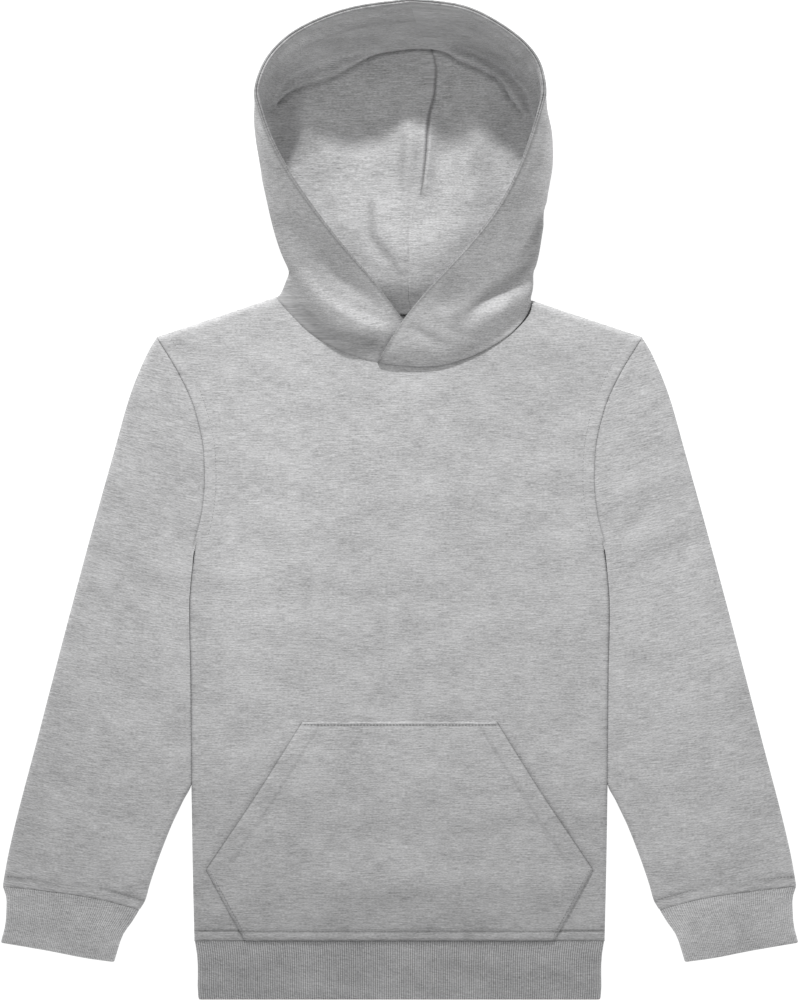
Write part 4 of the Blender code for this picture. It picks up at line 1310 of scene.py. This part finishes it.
STREAKS = ((125.0, 1250.0, 1.0), 3.0, (0.0, 0.0, 0.0))    # stretch, detail and place of a noise
FIBRES = ((560.0, 1900.0, 1.0), 1.0, (3.1, 7.7, 0.0))
CLOUDS = ((28.0, 60.0, 1.0), 2.0, (11.3, 5.9, 0.0))
GRAIN_ROUGHNESS = 0.6
FIBRE_SHARE = 0.42
CLOUD_SHARE = 0.22
RIB_STREAK = 0.4
DARK_FROM = 0.52        # the darkest fibres lie below this mix of streaks, fibres and clouds
NAP_STRENGTH = 0.5
NAP_HEIGHT = 0.0003
CLOTH_ROUGHNESS = 0.95
CLOTH_SHEEN = 0.05
SHEEN_ROUGHNESS = 0.6
CLOTH_SPECULAR = 0.15
TWIST_SCALE = 1400.0
THREAD_DARK = (0.22, 0.22, 0.222, 1.0)
THREAD_LIGHT = (0.42, 0.42, 0.424, 1.0)
THREAD_ROUGHNESS = 0.8
THREAD_SPECULAR = 0.2


def heather(name, dark, light, streak=0.55):
    """Heather jersey: pale and dark fibres mixed into short streaks along the courses."""
    made = bpy.data.materials.new(name)
    made.use_nodes = True
    shader = made.node_tree.nodes["Principled BSDF"]
    lie = wired(made, "ShaderNodeUVMap")
    lie.uv_map = "cloth"
    uv = lie.outputs["UV"]

    def noise(stretch, detail, offset):
        place = wired(made, "ShaderNodeMapping", Vector=uv, Scale=stretch, Location=offset)
        grain = wired(made, "ShaderNodeTexNoise", Vector=place.outputs["Vector"], Scale=1.0,
                      Detail=detail, Roughness=GRAIN_ROUGHNESS)
        return grain.outputs["Fac"]

    streaks = noise(*STREAKS)
    fibres = noise(*FIBRES)
    clouds = noise(*CLOUDS)

    def level(value, factor, base):
        share = wired(made, "ShaderNodeMath")
        share.operation = "MULTIPLY_ADD"
        made.node_tree.links.new(value, share.inputs[0])
        share.inputs[1].default_value = factor
        if isinstance(base, bpy.types.NodeSocket):
            made.node_tree.links.new(base, share.inputs[2])
        else:
            share.inputs[2].default_value = base
        return share.outputs[0]

    shades = level(streaks, streak, -streak / 2 + 0.5)
    shades = level(fibres, FIBRE_SHARE, shades)
    shades = level(clouds, CLOUD_SHARE, shades)
    ramp = wired(made, "ShaderNodeValToRGB", Fac=shades)
    ramp.color_ramp.elements[0].position = DARK_FROM
    ramp.color_ramp.elements[1].position = 1.0
    ramp.color_ramp.elements[0].color = (*dark, 1.0)
    ramp.color_ramp.elements[1].color = (*light, 1.0)
    bump = wired(made, "ShaderNodeBump", Height=shades, Strength=NAP_STRENGTH,
                 Distance=NAP_HEIGHT)
    # The colour is scaled by the painted light and shade kept on the mesh's points
    depth = wired(made, "ShaderNodeAttribute")
    depth.attribute_name = "painted_light"
    toned = wired(made, "ShaderNodeVectorMath")
    toned.operation = "SCALE"
    made.node_tree.links.new(ramp.outputs["Color"], toned.inputs[0])
    made.node_tree.links.new(depth.outputs["Fac"], toned.inputs["Scale"])
    made.node_tree.links.new(toned.outputs["Vector"], shader.inputs["Base Color"])
    made.node_tree.links.new(bump.outputs["Normal"], shader.inputs["Normal"])
    shader.inputs["Roughness"].default_value = CLOTH_ROUGHNESS
    shader.inputs["Sheen Weight"].default_value = CLOTH_SHEEN
    shader.inputs["Sheen Roughness"].default_value = SHEEN_ROUGHNESS
    shader.inputs["Specular IOR Level"].default_value = CLOTH_SPECULAR
    return made


def sewing_thread():
    """Matt grey sewing thread with a fine twist."""
    made = bpy.data.materials.new("sewing_thread")
    made.use_nodes = True
    shader = made.node_tree.nodes["Principled BSDF"]
    place = wired(made, "ShaderNodeTexCoord")
    twist = wired(made, "ShaderNodeTexNoise", Vector=place.outputs["Object"], Scale=TWIST_SCALE,
                  Detail=2.0)
    ramp = wired(made, "ShaderNodeValToRGB", Fac=twist.outputs["Fac"])
    ramp.color_ramp.elements[0].color = THREAD_DARK
    ramp.color_ramp.elements[1].color = THREAD_LIGHT
    made.node_tree.links.new(ramp.outputs["Color"], shader.inputs["Base Color"])
    shader.inputs["Roughness"].default_value = THREAD_ROUGHNESS
    shader.inputs["Specular IOR Level"].default_value = THREAD_SPECULAR
    return made


# ---- Stage, light and camera ----

FLOOR_HALF = 6.0
FLOOR_DROP = 0.0002      # the floor lies this far under the garment
FLOOR_COLOUR = (0.3, 0.3, 0.3, 1.0)
FLOOR_GLOW = 0.9         # it glows a little, as a lit table does
FLOOR_ROUGHNESS = 0.9
WHITE = (1.0, 1.0, 1.0, 1.0)
FILL = 0.555
KEY_POWER = 60.5
KEY_PLACE = (-0.20, 1.24, 0.76)
KEY_AIM = (0.0, 0.34, 0.0)
KEY_RADIUS = 0.05
KEY_CONE = 0.79         # full angle of the lamp's cone, in radians
CAMERA_HEIGHT = 10.0
VIEW_HEIGHT = 0.640
SENSOR = 36.0


def set_stage():
    """Pale floor, soft surrounding light, one lamp beyond the hood, and a camera straight above."""
    bpy.ops.object.select_all(action="DESELECT")
    bpy.ops.mesh.primitive_plane_add(size=2 * FLOOR_HALF, location=(0.0, 0.0, -FLOOR_DROP))
    floor = bpy.context.object
    floor.name = "floor"
    pale = bpy.data.materials.new("pale_floor")
    pale.use_nodes = True
    shader = pale.node_tree.nodes["Principled BSDF"]
    shader.inputs["Base Color"].default_value = FLOOR_COLOUR
    shader.inputs["Roughness"].default_value = FLOOR_ROUGHNESS
    shader.inputs["Specular IOR Level"].default_value = 0.0
    shader.inputs["Emission Color"].default_value = WHITE
    shader.inputs["Emission Strength"].default_value = FLOOR_GLOW
    floor.data.materials.append(pale)

    world = bpy.data.worlds.new("studio")
    world.use_nodes = True
    sky = world.node_tree.nodes["Background"]
    sky.inputs["Color"].default_value = WHITE
    sky.inputs["Strength"].default_value = FILL
    bpy.context.scene.world = world

    lamp = bpy.data.lights.new("key", "SPOT")
    lamp.shadow_soft_size = KEY_RADIUS
    lamp.spot_size = KEY_CONE
    lamp.spot_blend = 1.0
    lamp.energy = KEY_POWER
    key = bpy.data.objects.new("key", lamp)
    bpy.context.scene.collection.objects.link(key)
    key.location = KEY_PLACE
    aim = Vector(KEY_AIM) - Vector(KEY_PLACE)
    key.rotation_euler = aim.to_track_quat("-Z", "Y").to_euler()

    view = bpy.data.cameras.new("camera")
    view.lens = SENSOR * CAMERA_HEIGHT / VIEW_HEIGHT
    view.sensor_width = SENSOR
    view.clip_start = 0.1
    view.clip_end = 2 * CAMERA_HEIGHT
    camera = bpy.data.objects.new("camera", view)
    bpy.context.scene.collection.objects.link(camera)
    camera.location = (0.0, 0.0, CAMERA_HEIGHT)
    bpy.context.scene.camera = camera
    bpy.context.scene.view_settings.view_transform = "Standard"
    return floor


# ---- The garment put together ----


def declare(piece, nodes):
    """A piece rides on the garment and stands for its solids, which are hidden."""
    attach(piece, "root")
    if nodes:
        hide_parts(*nodes)


def make_garment():
    """All pieces of cloth and their stitches, each riding on the garment in place of its solids."""
    fleece = heather("heather_fleece", (0.18, 0.18, 0.182), (0.77, 0.77, 0.775))
    brushed = heather("heather_lining", (0.13, 0.13, 0.132), (0.80, 0.80, 0.805))
    rib = heather("heather_rib", (0.22, 0.22, 0.222), (0.92, 0.92, 0.925), RIB_STREAK)
    # The hem band's rib is a darker copy of the rib, painted shade for the garment's lower edge
    hem_rib = heather("heather_hem_rib_painted_shade", (0.17, 0.17, 0.172), (0.72, 0.72, 0.725), RIB_STREAK)
    thread = sewing_thread()
    front_stitches, pocket_stitches, sleeve_stitches = sew_all(thread)

    back = make_back(fleece)
    declare(back, ["back_panel"])
    front = make_front(fleece)
    declare(front, ["front_panel"])
    pocket = make_pocket(fleece)
    declare(pocket, ["pocket"])
    hem = make_hem(hem_rib)
    declare(hem, ["hem_band"])
    declare(front_stitches, [])
    declare(pocket_stitches, [])
    for number, (side, sign) in enumerate((("left", 1), ("right", -1))):
        sleeve = make_sleeve(side, sign, fleece)
        declare(sleeve, ["sleeve_" + side])
        declare(sleeve_stitches[number], [])
        cuff = make_cuff(side, sign, rib)
        declare(cuff, ["cuff_" + side])
        half = "over" if sign > 0 else "under"
        outer, lining = make_hood_half(half, side, sign, fleece, brushed)
        declare(outer, ["hood_" + side])
        declare(lining, ["hood_lining_" + side])


set_stage()
make_garment()
